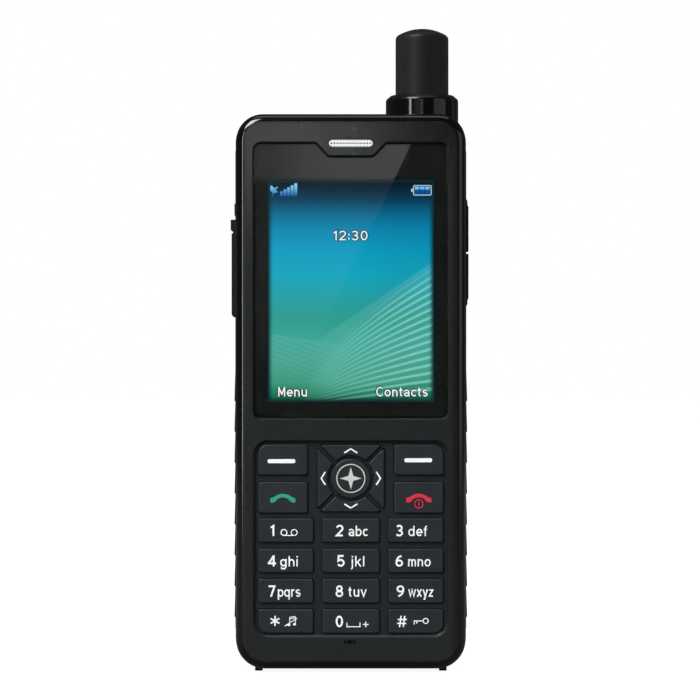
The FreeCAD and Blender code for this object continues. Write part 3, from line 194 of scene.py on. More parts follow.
def moulded(name, colour, roughness, grain, depth, specular=0.5, worn=0.12):
    """Moulded plastic or rubber: slow colour drift, grain in the bump and a patchy roughness."""
    shader = Shader(name, roughness=roughness)
    shader.set("Specular IOR Level", specular)
    drift = shader.noise(90, 4)
    shader.set("Base Color", shader.mix(drift, scaled(colour, 1 - worn), scaled(colour, 1 + worn)))
    patch = shader.noise(240, 5, 0.6)
    low, high = roughness - 0.06, roughness + 0.08
    shader.set("Roughness", shader.band(patch, 0.3, 0.7, low, high))
    if depth:
        shader.bump(shader.noise(grain, 3, 0.6), 0.35, depth)
    return shader


def metal(name, colour, roughness, stretch=(1.0, 1.0, 1.0), scale=2600):
    """Bare metal with brushed or blasted grain."""
    shader = Shader(name, metallic=1.0, roughness=roughness)
    grain = shader.noise(scale, 4, 0.65, stretch)
    stain = shader.noise(160, 4)
    shade = shader.mix(stain, scaled(colour, 0.86), scaled(colour, 1.05))
    shader.set("Base Color", shade)
    shader.set("Roughness", shader.band(grain, 0.25, 0.75, roughness * 0.7, roughness * 1.35))
    shader.bump(grain, 0.25, 0.00002)
    return shader


# ---- materials ----

FACE_BOTTOM = 0.8 * MM
FACE_CORNER = 6.9 * MM
RIM_WIDTH = 2.3 * MM
RIM_SIDE_WIDTH = 1.9 * MM
RIM_SOFTNESS = 0.1 * MM
RECESS_BOTTOM = 9.35 * MM
WEB_DEPTH = 0.95 * MM
SLOT_X = -0.2 * MM
SLOT_Z = 7.5 * MM
SLOT_HALF_WIDTH = 1.95 * MM
SLOT_HALF_HEIGHT = 0.75 * MM
# extents of the painted shade on the face's right side and upper right, in metres
SIDE_SHADE = (24.2 * MM, 25.6 * MM)
UPPER_SHADE_X = (0.0, 18 * MM)
UPPER_SHADE_Z = (118 * MM, 132 * MM)


def face_material():
    """Satin black face with a polished rim; the recess sides, microphone slot, right side and upper right are
    darker with painted shade.
    """
    shader = Shader("face_black", roughness=0.4)
    x, y, z = shader.axes()
    low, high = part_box("front_cover")
    behind_face = shader.band(y, low.y + 0.03 * MM, low.y + 0.06 * MM)
    rim = shader.both(behind_face, rim_mask(shader, x, z, high))
    before_web = shader.band(y, low.y + WEB_DEPTH + 0.02 * MM, low.y + WEB_DEPTH - 0.02 * MM)
    above_bottom = shader.band(z, RECESS_BOTTOM - 0.35 * MM, RECESS_BOTTOM + 0.35 * MM)
    recess = shader.both(before_web, above_bottom)
    # painted shade: the sides of the keypad recess and the microphone slot are coloured near black
    painted_recess_shade = shader.both(behind_face, shader.either(recess, slot_mask(shader, x, z)))
    drift = shader.noise(60, 4)
    satin = shader.mix(drift, rgb(25, 28, 30), rgb(30, 34, 36))
    # painted shade: the face is coloured darker towards its right side and in its upper right
    painted_side_shade = shader.band(x, *SIDE_SHADE, 0.0, 0.8)
    painted_upper_right_shade = shader.both(shader.band(x, *UPPER_SHADE_X), shader.band(z, *UPPER_SHADE_Z))
    satin = shader.mix(shader.either(painted_side_shade, painted_upper_right_shade), satin, rgb(7, 8, 9))
    satin = shader.mix(painted_recess_shade, satin, rgb(3, 4, 4))
    shader.set("Base Color", shader.mix(rim, satin, rgb(4, 5, 6)))
    patch = shader.noise(420, 5, 0.6)
    satin_roughness = shader.band(patch, 0.3, 0.7, 0.27, 0.33)
    satin_roughness = shader.math("MULTIPLY_ADD", painted_recess_shade, 0.3, satin_roughness)
    difference = shader.math("SUBTRACT", 0.13, satin_roughness)
    shader.set("Roughness", shader.math("MULTIPLY_ADD", difference, rim, satin_roughness))
    return shader.material


def rim_mask(shader, x, z, high):
    """One near the face's outline, seen from the front."""
    side_edge = high.x - RIM_SIDE_WIDTH
    upper_edge = high.z - RIM_WIDTH
    lower_edge = FACE_BOTTOM + RIM_WIDTH
    side = shader.band(shader.math("ABSOLUTE", x), side_edge - RIM_SOFTNESS, side_edge + RIM_SOFTNESS)
    upper = shader.band(z, upper_edge - RIM_SOFTNESS, upper_edge + RIM_SOFTNESS)
    lower = shader.band(z, lower_edge + RIM_SOFTNESS, lower_edge - RIM_SOFTNESS)
    sides = shader.either(side, corner_mask(shader, x, z, high))
    return shader.either(sides, shader.either(upper, lower))


def corner_mask(shader, x, z, high):
    """One outside the circles that round the face's four corners."""
    across = shader.math("SUBTRACT", shader.math("ABSOLUTE", x), high.x - FACE_CORNER)
    middle = (high.z + FACE_BOTTOM) / 2
    reach = high.z - middle - FACE_CORNER
    up = shader.math("SUBTRACT", shader.math("ABSOLUTE", shader.math("SUBTRACT", z, middle)), reach)
    across = shader.math("MAXIMUM", across, 0.0)
    up = shader.math("MAXIMUM", up, 0.0)
    squares = shader.math("ADD", shader.both(across, across), shader.both(up, up))
    inner = FACE_CORNER - RIM_WIDTH
    return shader.band(shader.math("SQRT", squares), inner, inner + 2 * RIM_SOFTNESS)


def slot_mask(shader, x, z):
    """One over the microphone slot, seen from the front."""
    soft = 0.05 * MM
    across = shader.math("ABSOLUTE", shader.math("SUBTRACT", x, SLOT_X))
    up = shader.math("ABSOLUTE", shader.math("SUBTRACT", z, SLOT_Z))
    inside_width = shader.band(across, SLOT_HALF_WIDTH + soft, SLOT_HALF_WIDTH - soft)
    inside_height = shader.band(up, SLOT_HALF_HEIGHT + soft, SLOT_HALF_HEIGHT - soft)
    return shader.both(inside_width, inside_height)


def collar_material():
    """Polished black collar."""
    shader = Shader("collar_gloss_black", roughness=0.12, coat=0.25, coat_roughness=0.04)
    shader.set("Specular IOR Level", 0.3)
    drift = shader.noise(140, 4)
    shader.set("Base Color", shader.mix(drift, rgb(3, 4, 5), rgb(6, 7, 8)))
    patch = shader.noise(600, 5, 0.6)
    polished = shader.band(patch, 0.3, 0.7, 0.09, 0.17)
    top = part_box("antenna_collar")[1].z
    shoulder = shader.band(shader.axes()[2], top - 1.5 * MM, top - 1.1 * MM, 0.0, 0.18)
    shader.set("Roughness", shader.math("ADD", polished, shoulder))
    return shader.material


def textured_shell_material():
    """Rear shell with a spark-eroded texture."""
    shader = moulded("shell_spark_texture", rgb(20, 21, 22), 0.55, 5200, 0.00003, specular=0.25)
    return shader.material


def grip_material():
    """Matt rubber with a pebbled skin."""
    shader = Shader("grip_rubber", roughness=0.62)
    shader.set("Specular IOR Level", 0.2)
    drift = shader.noise(120, 4)
    shader.set("Base Color", shader.mix(drift, rgb(11, 12, 13), rgb(18, 19, 20)))
    pebble = shader.cells(2600)
    shader.set("Roughness", shader.band(pebble, 0.1, 0.6, 0.55, 0.72))
    shader.bump(pebble, 0.4, 0.00004)
    return shader.material


def key_material():
    """Charcoal key caps, satin."""
    shader = moulded("key_cap_charcoal", rgb(36, 41, 44), 0.42, 3600, 0.000006, specular=0.35, worn=0.06)
    return shader.material


def radome_material():
    """Satin stub with fine moulding texture."""
    shader = moulded("radome_satin_black", rgb(20, 22, 23), 0.45, 4200, 0.00001, specular=0.18)
    return shader.material


def lens_material():
    """Clear polished window."""
    shader = Shader("lens_clear", roughness=0.0)
    shader.set("Transmission Weight", 1.0)
    shader.set("IOR", 1.1)
    smear = shader.noise(150, 5, 0.6)
    shader.set("Base Color", shader.mix(smear, (0.96, 0.98, 0.98), (1.0, 1.0, 1.0)))
    return shader.material


def lens_print_material():
    """Glossy black print behind the lens border."""
    shader = Shader("lens_border_print", roughness=0.0)
    drift = shader.noise(90, 4)
    shader.set("Base Color", shader.mix(drift, rgb(22, 26, 24), rgb(26, 30, 28)))
    patch = shader.noise(400, 5, 0.6)
    shader.set("Roughness", shader.band(patch, 0.3, 0.7, 0.0, 0.02))
    return shader.material


def ink_material(name, colour):
    """Screen-printed legend ink, a little uneven, with a faint painted glow."""
    shader = moulded(name, colour, 0.48, 6000, 0.000006, specular=0.2, worn=0.03)
    # painted light: the ink glows faintly though it is no lamp
    shader.set("Emission Color", colour)
    shader.set("Emission Strength", 0.07)
    return shader.material


def silver_material():
    shader = metal("silver_trim", rgb(205, 206, 204), 0.28)
    return shader.material


def display_material(left, bottom, width, height):
    """Lit wallpaper: night blue to turquoise to green, with a fan of light stripes and a faint weave, and
    painted shade along its edges.
    """
    shader = Shader("display_wallpaper", roughness=0.0)
    axes = shader.axes()
    across = shader.band(axes[0], left, left + width, 0, 1, smooth=False)
    up = shader.band(axes[2], bottom, bottom + height, 0, 1, smooth=False)
    sky = shader.ramp(up, [
        (0.00, rgb(12, 48, 34)), (0.035, rgb(26, 118, 84)), (0.09, rgb(56, 146, 120)),
        (0.19, rgb(62, 152, 134)), (0.28, rgb(58, 156, 142)), (0.37, rgb(44, 150, 136)),
        (0.46, rgb(34, 152, 154)), (0.572, rgb(14, 158, 182)), (0.685, rgb(6, 148, 184)),
        (0.775, rgb(4, 130, 170)), (0.842, rgb(3, 104, 141)), (0.91, rgb(3, 60, 86)),
        (0.955, rgb(3, 36, 56)), (1.00, rgb(3, 16, 26)),
    ])
    dimmer = shader.band(across, 0.45, 0.85, 1.05, 0.93)
    sky = shader.mix(1.0, sky, dimmer, "MULTIPLY")
    fan = fan_stripes(shader, across, up)
    weave = weave_stripes(shader, across, up)
    lit = shader.mix(fan, sky, rgb(132, 214, 200))
    lit = shader.mix(weave, lit, rgb(120, 200, 178))
    # painted shade: the lit image darkens to a dim teal along its edges
    edge_x = shader.both(shader.band(across, 0.0, 0.035), shader.band(across, 1.0, 0.965))
    edge_z = shader.both(shader.band(up, 0.0, 0.02), shader.band(up, 1.0, 0.985))
    edge = shader.both(edge_x, edge_z)
    shader.set("Base Color", rgb(2, 4, 5))
    shader.set("Emission Color", shader.mix(edge, scaled(rgb(10, 60, 70), 0.5), lit))
    shader.set("Emission Strength", 1.05)
    return shader.material


def fan_stripes(shader, across, up):
    """Light stripes that fan out from the lower left towards the right edge, on a faint veil."""
    start_x, start_z, bend = 0.21, -0.03, 0.6
    along = shader.math("MAXIMUM", shader.math("SUBTRACT", across, start_x), 0.001)
    rise = shader.math("SUBTRACT", up, start_z)
    slope = shader.math("DIVIDE", rise, shader.math("POWER", along, bend))
    lowest, highest, count = 0.104, 0.754, 15.5
    turns = shader.band(slope, lowest, highest, 0.0, count, smooth=False)
    stripe = shader.band(shader.math("PINGPONG", turns, 0.5), 0.27, 0.08)
    after_lowest = shader.band(slope, lowest - 0.02, lowest)
    before_highest = shader.band(slope, highest + 0.015, highest - 0.1)
    lines = shader.both(stripe, shader.both(after_lowest, before_highest))
    lines = shader.both(lines, shader.band(across, 0.28, 0.9, 0.16, 0.58))
    ceiling = shader.math("MULTIPLY_ADD", across, 0.51, 0.128)
    under = shader.band(shader.math("SUBTRACT", ceiling, up), -0.002, 0.006)
    veil = shader.both(under, shader.band(across, 0.20, 0.45, 0.0, 0.12))
    veil = shader.both(veil, shader.band(slope, lowest - 0.02, lowest + 0.1))
    return shader.math("ADD", lines, veil)


def weave_stripes(shader, across, up):
    """A faint family of thin slanting stripes in the lower left corner."""
    level = shader.math("MULTIPLY_ADD", across, 0.11, up)
    below = shader.band(level, 0.312, 0.304)
    slanted = shader.math("MULTIPLY_ADD", across, 0.28, up)
    wave = shader.math("PINGPONG", shader.math("MULTIPLY", slanted, 44.0), 0.5)
    stripe = shader.band(wave, 0.4, 0.15)
    above = shader.band(level, 0.06, 0.2)
    side = shader.band(across, 0.62, 0.3)
    amount = shader.math("MULTIPLY_ADD", stripe, 0.09, 0.08)
    return shader.both(amount, shader.both(below, shader.both(above, side)))


def glow_material(name, colour, strength=1.0):
    """A lit figure on the display."""
    shader = Shader(name, roughness=0.4)
    drift = shader.noise(2000, 2)
    shader.set("Base Color", (0.0, 0.0, 0.0))
    shader.set("Specular IOR Level", 0.0)
    shader.set("Emission Color", shader.mix(drift, scaled(colour, 0.92), colour))
    shader.set("Emission Strength", strength)
    return shader.material


def icon_material(name, below, above):
    """Status figures: deep blue, pale towards the top; below and above are depths under the display's top."""
    shader = Shader(name, roughness=0.4)
    shader.set("Base Color", (0.0, 0.0, 0.0))
    shader.set("Specular IOR Level", 0.0)
    display_top = display_area()[3]
    height = shader.axes()[2]
    ramp = shader.band(height, display_top - below, display_top - above)
    shader.set("Emission Color", shader.mix(ramp, rgb(14, 78, 160), rgb(126, 200, 242)))
    shader.set("Emission Strength", 1.0)
    return shader.material


INSIDE_FINISHES = {
    "silicone": ("silicone_grey", rgb(92, 92, 96), 0.6, 1800),
    "board_green": ("solder_mask_green", rgb(20, 78, 48), 0.35, 900),
    "device_black": ("device_black", rgb(34, 35, 37), 0.5, 2400),
    "socket_black": ("socket_black", rgb(22, 22, 23), 0.45, 2600),
    "tube_plastic": ("liner_plastic", rgb(70, 71, 74), 0.5, 1400),
    "patch_ceramic": ("patch_ceramic", rgb(196, 178, 140), 0.55, 3000),
    "battery_wrap": ("battery_wrap", rgb(48, 52, 56), 0.42, 1300),
    "side_key": ("side_key_black", rgb(22, 23, 24), 0.5, 4200),
}
METAL_FINISHES = {
    "tin": ("tinned_sheet", rgb(188, 188, 182), 0.34),
    "dome_metal": ("dome_steel", rgb(190, 190, 194), 0.26),
    "contact_brass": ("gold_contact", rgb(228, 184, 92), 0.24),
    "copper_print": ("printed_copper", rgb(200, 118, 74), 0.32),
    "screw_steel": ("screw_black_steel", rgb(70, 70, 73), 0.34),
    "steel_pin": ("bar_steel", rgb(206, 207, 210), 0.18),
}


def slot_materials():
    """One material for each of the record's slots."""
    made = {
        "gloss_shell": face_material(),
        "rear_shell": textured_shell_material(),
        "grip_rubber": grip_material(),
        "key_plastic": key_material(),
        "radome_plastic": radome_material(),
        "lens_glass": lens_material(),
        "grille_metal": silver_material(),
    }
    for name, (title, colour, roughness, grain) in INSIDE_FINISHES.items():
        made[name] = moulded(title, colour, roughness, grain, 0.00002).material
    for name, (title, colour, roughness) in METAL_FINISHES.items():
        made[name] = metal(title, colour, roughness).material
    made["display_stack"] = made["device_black"]
    return made


def dress_cad_nodes(materials):
    """Gives every CAD node its slot's material."""
    for entry in frame["record"]["subparts"]:
        node = frame["nodes"][entry["node"]]
        finish = materials[entry["material_slot"]]
        if entry["node"] == "antenna_collar":
            finish = collar_material()
        node.data.materials.clear()
        node.data.materials.append(finish)


# ---- helpers for thin printed and cut pieces ----


def link(name, mesh, material, body):
    """Adds a mesh as a piece that rides on a body."""
    mesh.materials.clear()
    mesh.materials.append(material)
    piece = bpy.data.objects.new(name, mesh)
    bpy.context.scene.collection.objects.link(piece)
    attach(piece, body)
    return piece


def mesh_of_curve(curve, y_front, depth):
    """Mesh of a flat curve, stood up to face -Y with its front at y_front."""
    holder = bpy.data.objects.new(curve.name, curve)
    bpy.context.scene.collection.objects.link(holder)
    mesh = bpy.data.meshes.new_from_object(holder)
    bpy.data.objects.remove(holder)
    bpy.data.curves.remove(curve)
    mesh.transform(Matrix.Translation((0, y_front + depth / 2, 0)) @ Matrix.Rotation(math.pi / 2, 4, "X"))
    return mesh


def cut_sheet(name, outlines, y_front, depth, material, body, bevel=0.0):
    """Thin sheet with the given closed (x, z) outlines in metres; an outline inside another is a hole."""
    curve = bpy.data.curves.new(name, "CURVE")
    curve.dimensions = "2D"
    curve.fill_mode = "BOTH"
    curve.extrude = depth / 2 - bevel
    curve.bevel_depth = bevel
    curve.bevel_resolution = 2
    for outline in outlines:
        spline = curve.splines.new("POLY")
        spline.points.add(len(outline) - 1)
        for point, (x, z) in zip(spline.points, outline):
            point.co = (x, z, 0, 1)
        spline.use_cyclic_u = True
    return link(name, mesh_of_curve(curve, y_front, depth), material, body)


def ribbons(name, paths, width, y_front, depth, material, body):
    """Flat strips along (x, z) paths in metres; width is one number, or one for each point."""
    net = bmesh.new()
    for order, path in enumerate(paths):
        left_side, right_side = strip_sides(path, width)
        front = y_front - LAYER * (order % 4)
        rows = []
        for left, right in zip(left_side, right_side):
            row = [(left.x, front, left.y), (right.x, front, right.y)]
            row += [(x, y + depth, z) for x, y, z in reversed(row)]
            rows.append([net.verts.new(corner) for corner in row])
        for near, far in zip(rows, rows[1:]):
            for index in range(4):
                following = (index + 1) % 4
                net.faces.new((near[index], near[following], far[following], far[index]))
        net.faces.new(rows[0][::-1])
        net.faces.new(rows[-1])
    bmesh.ops.recalc_face_normals(net, faces=net.faces[:])
    mesh = bpy.data.meshes.new(name)
    net.to_mesh(mesh)
    net.free()
    return link(name, mesh, material, body)


def strip_sides(path, width):
    """Points on both sides of a path, mitred at its bends."""
    points = [Vector(point) for point in path]
    widths = width if isinstance(width, (list, tuple)) else [width] * len(points)
    closed = (points[0] - points[-1]).length < 1e-7
    left_side, right_side = [], []
    for index, point in enumerate(points):
        ahead = points[min(index + 1, len(points) - 1)] - point
        behind = point - points[max(index - 1, 0)]
        if closed and index in (0, len(points) - 1):
            ahead, behind = points[1] - points[0], points[-1] - points[-2]
        ahead = ahead.normalized() if ahead.length else behind.normalized()
        behind = behind.normalized() if behind.length else ahead
        along = (ahead + behind).normalized()
        across = Vector((-along.y, along.x)) * (widths[index] / 2 / max(0.4, along.dot(ahead)))
        left_side.append(point + across)
        right_side.append(point - across)
    return left_side, right_side


def bow(x, z, reach, rise, start, end, steps=12):
    """Points along an ellipse's arc, angles in degrees."""
    angles = [math.radians(start + (end - start) * step / steps) for step in range(steps + 1)]
    return [(x + reach * math.cos(angle), z + rise * math.sin(angle)) for angle in angles]


def loop(x, z, reach, rise):
    return bow(x, z, reach, rise, 0, 360, 24)


LAYER = 0.003 * MM
CAPITAL = 1.4
LETTER_GAP = 0.16
ARCH = bow(0.40, 0.55, 0.28, 0.36, 180, 0) + [(0.68, 0)]
# letter: its width and its strokes, in x-heights
GLYPHS = {
    "a": (0.78, [bow(0.38, 0.62, 0.29, 0.29, 155, 0) + [(0.67, 0)], loop(0.38, 0.30, 0.29, 0.21)]),
    "b": (0.82, [[(0.12, 0), (0.12, 1.4)], loop(0.44, 0.5, 0.32, 0.41)]),
    "c": (0.74, [bow(0.44, 0.5, 0.33, 0.41, 48, 312)]),
    "d": (0.82, [[(0.70, 0), (0.70, 1.4)], loop(0.38, 0.5, 0.32, 0.41)]),
    "e": (0.80, [[(0.10, 0.5)] + bow(0.42, 0.5, 0.33, 0.41, 0, 318)]),
    "f": (0.48, [bow(0.42, 1.08, 0.20, 0.23, 80, 180) + [(0.22, 0)], [(0.02, 0.92), (0.46, 0.92)]]),
    "g": (0.82, [loop(0.38, 0.5, 0.32, 0.41), [(0.70, 1.0)] + bow(0.39, 0.0, 0.31, 0.31, 0, -150)]),
    "h": (0.80, [[(0.12, 0), (0.12, 1.4)], ARCH]),
    "i": (0.24, [[(0.12, 0), (0.12, 1.0)], [(0.12, 1.2), (0.12, 1.4)]]),
    "j": (0.30, [[(0.18, 1.0)] + bow(0.0, -0.1, 0.18, 0.22, 0, -80), [(0.18, 1.2), (0.18, 1.4)]]),
    "k": (0.74, [[(0.12, 0), (0.12, 1.4)], [(0.66, 1.0), (0.14, 0.42)], [(0.30, 0.6), (0.68, 0)]]),
    "l": (0.24, [[(0.12, 0), (0.12, 1.4)]]),
    "m": (1.12, [[(0.12, 0), (0.12, 1.0)], bow(0.34, 0.58, 0.22, 0.33, 180, 0) + [(0.56, 0)],
                 bow(0.78, 0.58, 0.22, 0.33, 180, 0) + [(1.0, 0)]]),
    "n": (0.80, [[(0.12, 0), (0.12, 1.0)], ARCH]),
    "o": (0.84, [loop(0.42, 0.5, 0.33, 0.41)]),
    "p": (0.82, [[(0.12, -0.4), (0.12, 1.0)], loop(0.44, 0.5, 0.32, 0.41)]),
    "q": (0.82, [[(0.70, -0.4), (0.70, 1.0)], loop(0.38, 0.5, 0.32, 0.41)]),
    "r": (0.50, [[(0.12, 0), (0.12, 1.0)], bow(0.40, 0.60, 0.28, 0.31, 170, 75)]),
    "s": (0.72, [bow(0.36, 0.70, 0.25, 0.21, 35, 270) + bow(0.36, 0.30, 0.27, 0.21, 88, -150)]),
    "t": (0.50, [[(0.22, 1.3)] + bow(0.40, 0.28, 0.18, 0.19, 180, 275), [(0.02, 0.92), (0.44, 0.92)]]),
    "u": (0.80, [[(0.12, 1.0)] + bow(0.40, 0.42, 0.28, 0.33, 180, 360), [(0.68, 1.0), (0.68, 0)]]),
    "v": (0.74, [[(0.06, 1.0), (0.37, 0.05), (0.68, 1.0)]]),
    "w": (1.10, [[(0.06, 1.0), (0.30, 0.05), (0.55, 0.95), (0.80, 0.05), (1.04, 1.0)]]),
    "x": (0.74, [[(0.07, 1.0), (0.67, 0)], [(0.67, 1.0), (0.07, 0)]]),
    "y": (0.74, [[(0.06, 1.0), (0.37, 0.08)], [(0.68, 1.0), (0.28, -0.31), (0.10, -0.31)]]),
    "z": (0.70, [[(0.08, 0.91), (0.62, 0.91), (0.08, 0.09), (0.64, 0.09)]]),
    "M": (1.0, [[(0.12, 0), (0.12, 1.4)], [(0.12, 1.3), (0.50, 0.35), (0.88, 1.3)],
                [(0.88, 0), (0.88, 1.4)]]),
    "C": (0.98, [bow(0.56, 0.7, 0.45, 0.61, 50, 310, 20)]),
    "0": (0.84, [loop(0.42, 0.7, 0.31, 0.61)]),
    "1": (0.50, [[(0.10, 1.06), (0.36, 1.28), (0.36, 0)]]),
    "2": (0.84, [bow(0.42, 0.98, 0.31, 0.33, 165, -35) + [(0.12, 0.09), (0.76, 0.09)]]),
    "3": (0.84, [bow(0.38, 1.01, 0.28, 0.30, 150, -88) + bow(0.38, 0.39, 0.32, 0.31, 88, -150)]),
    "4": (0.84, [[(0.60, 0), (0.60, 1.40)], [(0.60, 1.32), (0.09, 0.40)], [(0.0, 0.38), (0.84, 0.38)]]),
    "5": (0.84, [[(0.72, 1.31), (0.20, 1.31), (0.15, 0.70)] + bow(0.42, 0.46, 0.32, 0.37, 130, -150)]),
    "6": (0.84, [loop(0.42, 0.42, 0.31, 0.33), bow(0.68, 0.45, 0.57, 0.85, 92, 180)]),
    "7": (0.80, [[(0.08, 1.31), (0.70, 1.31), (0.30, 0)]]),
    "8": (0.84, [loop(0.42, 1.02, 0.26, 0.29), loop(0.42, 0.39, 0.32, 0.31)]),
    "9": (0.84, [loop(0.42, 0.98, 0.31, 0.33), bow(0.16, 0.95, 0.57, 0.86, 0, -88)]),
    "#": (1.00, [[(0.42, 1.4), (0.26, 0)], [(0.78, 1.4), (0.62, 0)], [(0.08, 0.95), (0.98, 0.95)],
                 [(0.02, 0.45), (0.92, 0.45)]]),
    ":": (0.24, [[(0.12, 0.12), (0.12, 0.36)], [(0.12, 0.70), (0.12, 0.94)]]),
}


def words(name, text, box, weight, y_front, depth, material, body):
    """Text in box = (left, baseline, width, capital height), in metres; width 0 keeps its own."""
    left, baseline, width, height = box
    unit = height / CAPITAL
    natural = sum(GLYPHS[letter][0] + LETTER_GAP for letter in text) - LETTER_GAP
    stretch = width / natural if width else unit
    paths, pen = [], 0.0
    for letter in text:
        advance, strokes = GLYPHS[letter]
        for path in strokes:
            paths.append([(left + (pen + x) * stretch, baseline + z * unit) for x, z in path])
        pen += advance + LETTER_GAP
    return ribbons(name, paths, weight, y_front, depth, material, body)


def circle(x, z, radius, steps=32, start=0.0):
    """Closed circle outline."""
    angles = [start + 2 * math.pi * step / steps for step in range(steps)]
    return [(x + radius * math.cos(angle), z + radius * math.sin(angle)) for angle in angles]


def rounded_rectangle(x_low, x_high, z_low, z_high, radius, steps=6):
    """Closed outline with round corners, anticlockwise."""
    centres = [
        (x_high - radius, z_low + radius, -90), (x_high - radius, z_high - radius, 0),
        (x_low + radius, z_high - radius, 90), (x_low + radius, z_low + radius, 180),
    ]
    outline = []
    for x, z, start in centres:
        for step in range(steps + 1):
            angle = math.radians(start + 90 * step / steps)
            outline.append((x + radius * math.cos(angle), z + radius * math.sin(angle)))
    return outline


def shifted(outline, x, z):
    return [(px + x, pz + z) for px, pz in outline]


# ---- key legends ----

INK_PROUD = 0.015 * MM
INK_DEPTH = 0.05 * MM
DIGIT_HEIGHT = 2.75 * MM
DIGIT_WEIGHT = 0.45 * MM
LETTER_HEIGHT = 2.55 * MM
LETTER_WEIGHT = 0.34 * MM
MARK_WEIGHT = 0.25 * MM
DIGIT_BASE = -1.4 * MM

# key: digit, its left edge and width, letters, their left edge and width, in mm from the key's middle
DIAL_LEGENDS = {
    "key_1": ("1", -3.9, 1.2, "", 0, 0),
    "key_2": ("2", -3.7, 1.95, "abc", -0.55, 4.75),
    "key_3": ("3", -4.9, 1.85, "def", -1.8, 4.6),
    "key_4": ("4", -4.4, 2.0, "ghi", -1.35, 4.35),
    "key_5": ("5", -3.45, 1.95, "jkl", 0.0, 3.4),
    "key_6": ("6", -5.0, 1.9, "mno", -1.95, 5.6),
    "key_7": ("7", -4.4, 1.9, "pqrs", -2.0, 5.6),
    "key_8": ("8", -3.75, 1.9, "tuv", -0.65, 4.5),
    "key_9": ("9", -4.75, 1.95, "wxyz", -1.8, 6.1),
    "key_0": ("0", -3.7, 1.8, "", 0, 0),
    "key_hash": ("#", -4.65, 2.5, "", 0, 0),
}


def key_middle(key):
    low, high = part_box(key)
    return (low.x + high.x) / 2, (low.z + high.z) / 2


def ink_front(key):
    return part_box(key)[0].y - INK_PROUD


def on_key(key, outline):
    """Moves points given in mm from a key's middle to their place, in metres."""
    x, z = key_middle(key)
    return [(px * MM + x, pz * MM + z) for px, pz in outline]


def print_sheet(key, name, outlines, material):
    """Filled mark on a key's face."""
    placed = [on_key(key, outline) for outline in outlines]
    return cut_sheet(name, placed, ink_front(key), INK_DEPTH, material, key)


def print_lines(key, name, paths, material, weight=MARK_WEIGHT):
    """Mark made of lines on a key's face."""
    placed = [on_key(key, path) for path in paths]
    return ribbons(name, placed, weight, ink_front(key), INK_DEPTH, material, key)


def dial_legends(white):
    for key, (digit, digit_left, digit_width, letters, letters_left, letters_width) in DIAL_LEGENDS.items():
        x, z = key_middle(key)
        base = z + DIGIT_BASE
        front = ink_front(key)
        place = (x + digit_left * MM, base, digit_width * MM, DIGIT_HEIGHT)
        weight = DIGIT_WEIGHT if digit != "#" else LETTER_WEIGHT
        words(key + "_digit", digit, place, weight, front, INK_DEPTH, white, key)
        if letters:
            place = (x + letters_left * MM, base, letters_width * MM, LETTER_HEIGHT)
            words(key + "_letters", letters, place, LETTER_WEIGHT, front, INK_DEPTH, white, key)
    print_lines("key_1", "key_1_tape_mark", tape_mark(), white)
    print_lines("key_0", "key_0_space_mark", space_mark(), white)
    print_lines("key_star", "key_star_star", star_mark(), white, 0.36 * MM)
    print_lines("key_star", "key_star_notes", note_mark(), white, 0.2 * MM)
    print_lines("key_hash", "key_hash_key_mark", lock_mark(), white)


def tape_mark():
    """Two reels joined by a line, for voice mail."""
    radius, spread, middle_x, middle_z = 0.72, 1.25, 0.8, -0.5
    foot = middle_z - radius
    reels = [loop(middle_x + side * spread, middle_z, radius, radius) for side in (-1, 1)]
    return reels + [[(middle_x - spread, foot), (middle_x + spread, foot)]]


def space_mark():
    """Open bracket for a space, and a plus."""
    plus_x, plus_z, arm = 3.65, -0.75, 0.68
    bracket = [(-0.95, -0.3), (-0.95, -1.32), (2.25, -1.32), (2.25, -0.3)]
    bar = [(plus_x - arm, plus_z), (plus_x + arm, plus_z)]
    post = [(plus_x, plus_z - arm), (plus_x, plus_z + arm)]
    return [bracket, bar, post]


def star_mark():
    """Three crossed bars."""
    middle_x, middle_z, reach = -2.65, 0.1, 1.25
    bars = []
    for angle in (90, 30, 150):
        across = reach * math.cos(math.radians(angle))
        up = reach * math.sin(math.radians(angle))
        bars.append([(middle_x - across, middle_z - up), (middle_x + across, middle_z + up)])
    return bars


def note_mark():
    """A pair of beamed music notes crossed by a line, for the silent profile."""
    left_stem, right_stem, foot, top = 0.95, 2.35, -0.85, 1.0
    lines = [
        [(left_stem, foot), (left_stem, top)], [(right_stem, foot + 0.15), (right_stem, top + 0.2)],
        [(left_stem, top), (right_stem, top + 0.2)], [(left_stem, top - 0.35), (right_stem, top - 0.15)],
        [(-0.25, -1.15), (2.75, 0.75)],
    ]
    for x, z in ((left_stem - 0.22, foot), (right_stem - 0.22, foot + 0.15)):
        lines += [loop(x, z, 0.28, 0.22), [(x - 0.3, z), (x + 0.3, z)]]
    return lines


def lock_mark():
    """A small key lying on its side, for the key lock."""
    bow_x, bow_z, radius = 2.4, 0.1, 0.62
    shaft = [(bow_x - radius, bow_z), (-0.5, bow_z)]
    teeth = [[(-0.4, bow_z), (-0.4, bow_z - 0.85)], [(0.25, bow_z), (0.25, bow_z - 0.6)]]
    return [loop(bow_x, bow_z, radius, radius), shaft] + teeth


def soft_key_bars(white):
    for key, shift, drop in (("soft_key_left", -0.34, -0.33), ("soft_key_right", -0.15, -0.1)):
        bar = rounded_rectangle(shift - 3.4, shift + 3.4, drop - 0.5, drop + 0.5, 0.45)
        print_sheet(key, key + "_bar", [bar], white)


def receiver(drop):
    """Middle line and widths of a telephone receiver lying down, cups below."""
    cup = [(-2.5, -1.75 + drop), (-2.53, -1.5 + drop), (-2.45, -1.1 + drop)]
    line = cup + bow(0, -1.85 + drop, 2.35, 1.8, 150, 30, 14) + [(-x, z) for x, z in cup[::-1]]
    half = [0.7, 1.15, 1.3, 1.05, 0.92]
    widths = half + [0.88] * (len(line) - 2 * len(half)) + half[::-1]
    return line, [width * MM for width in widths]


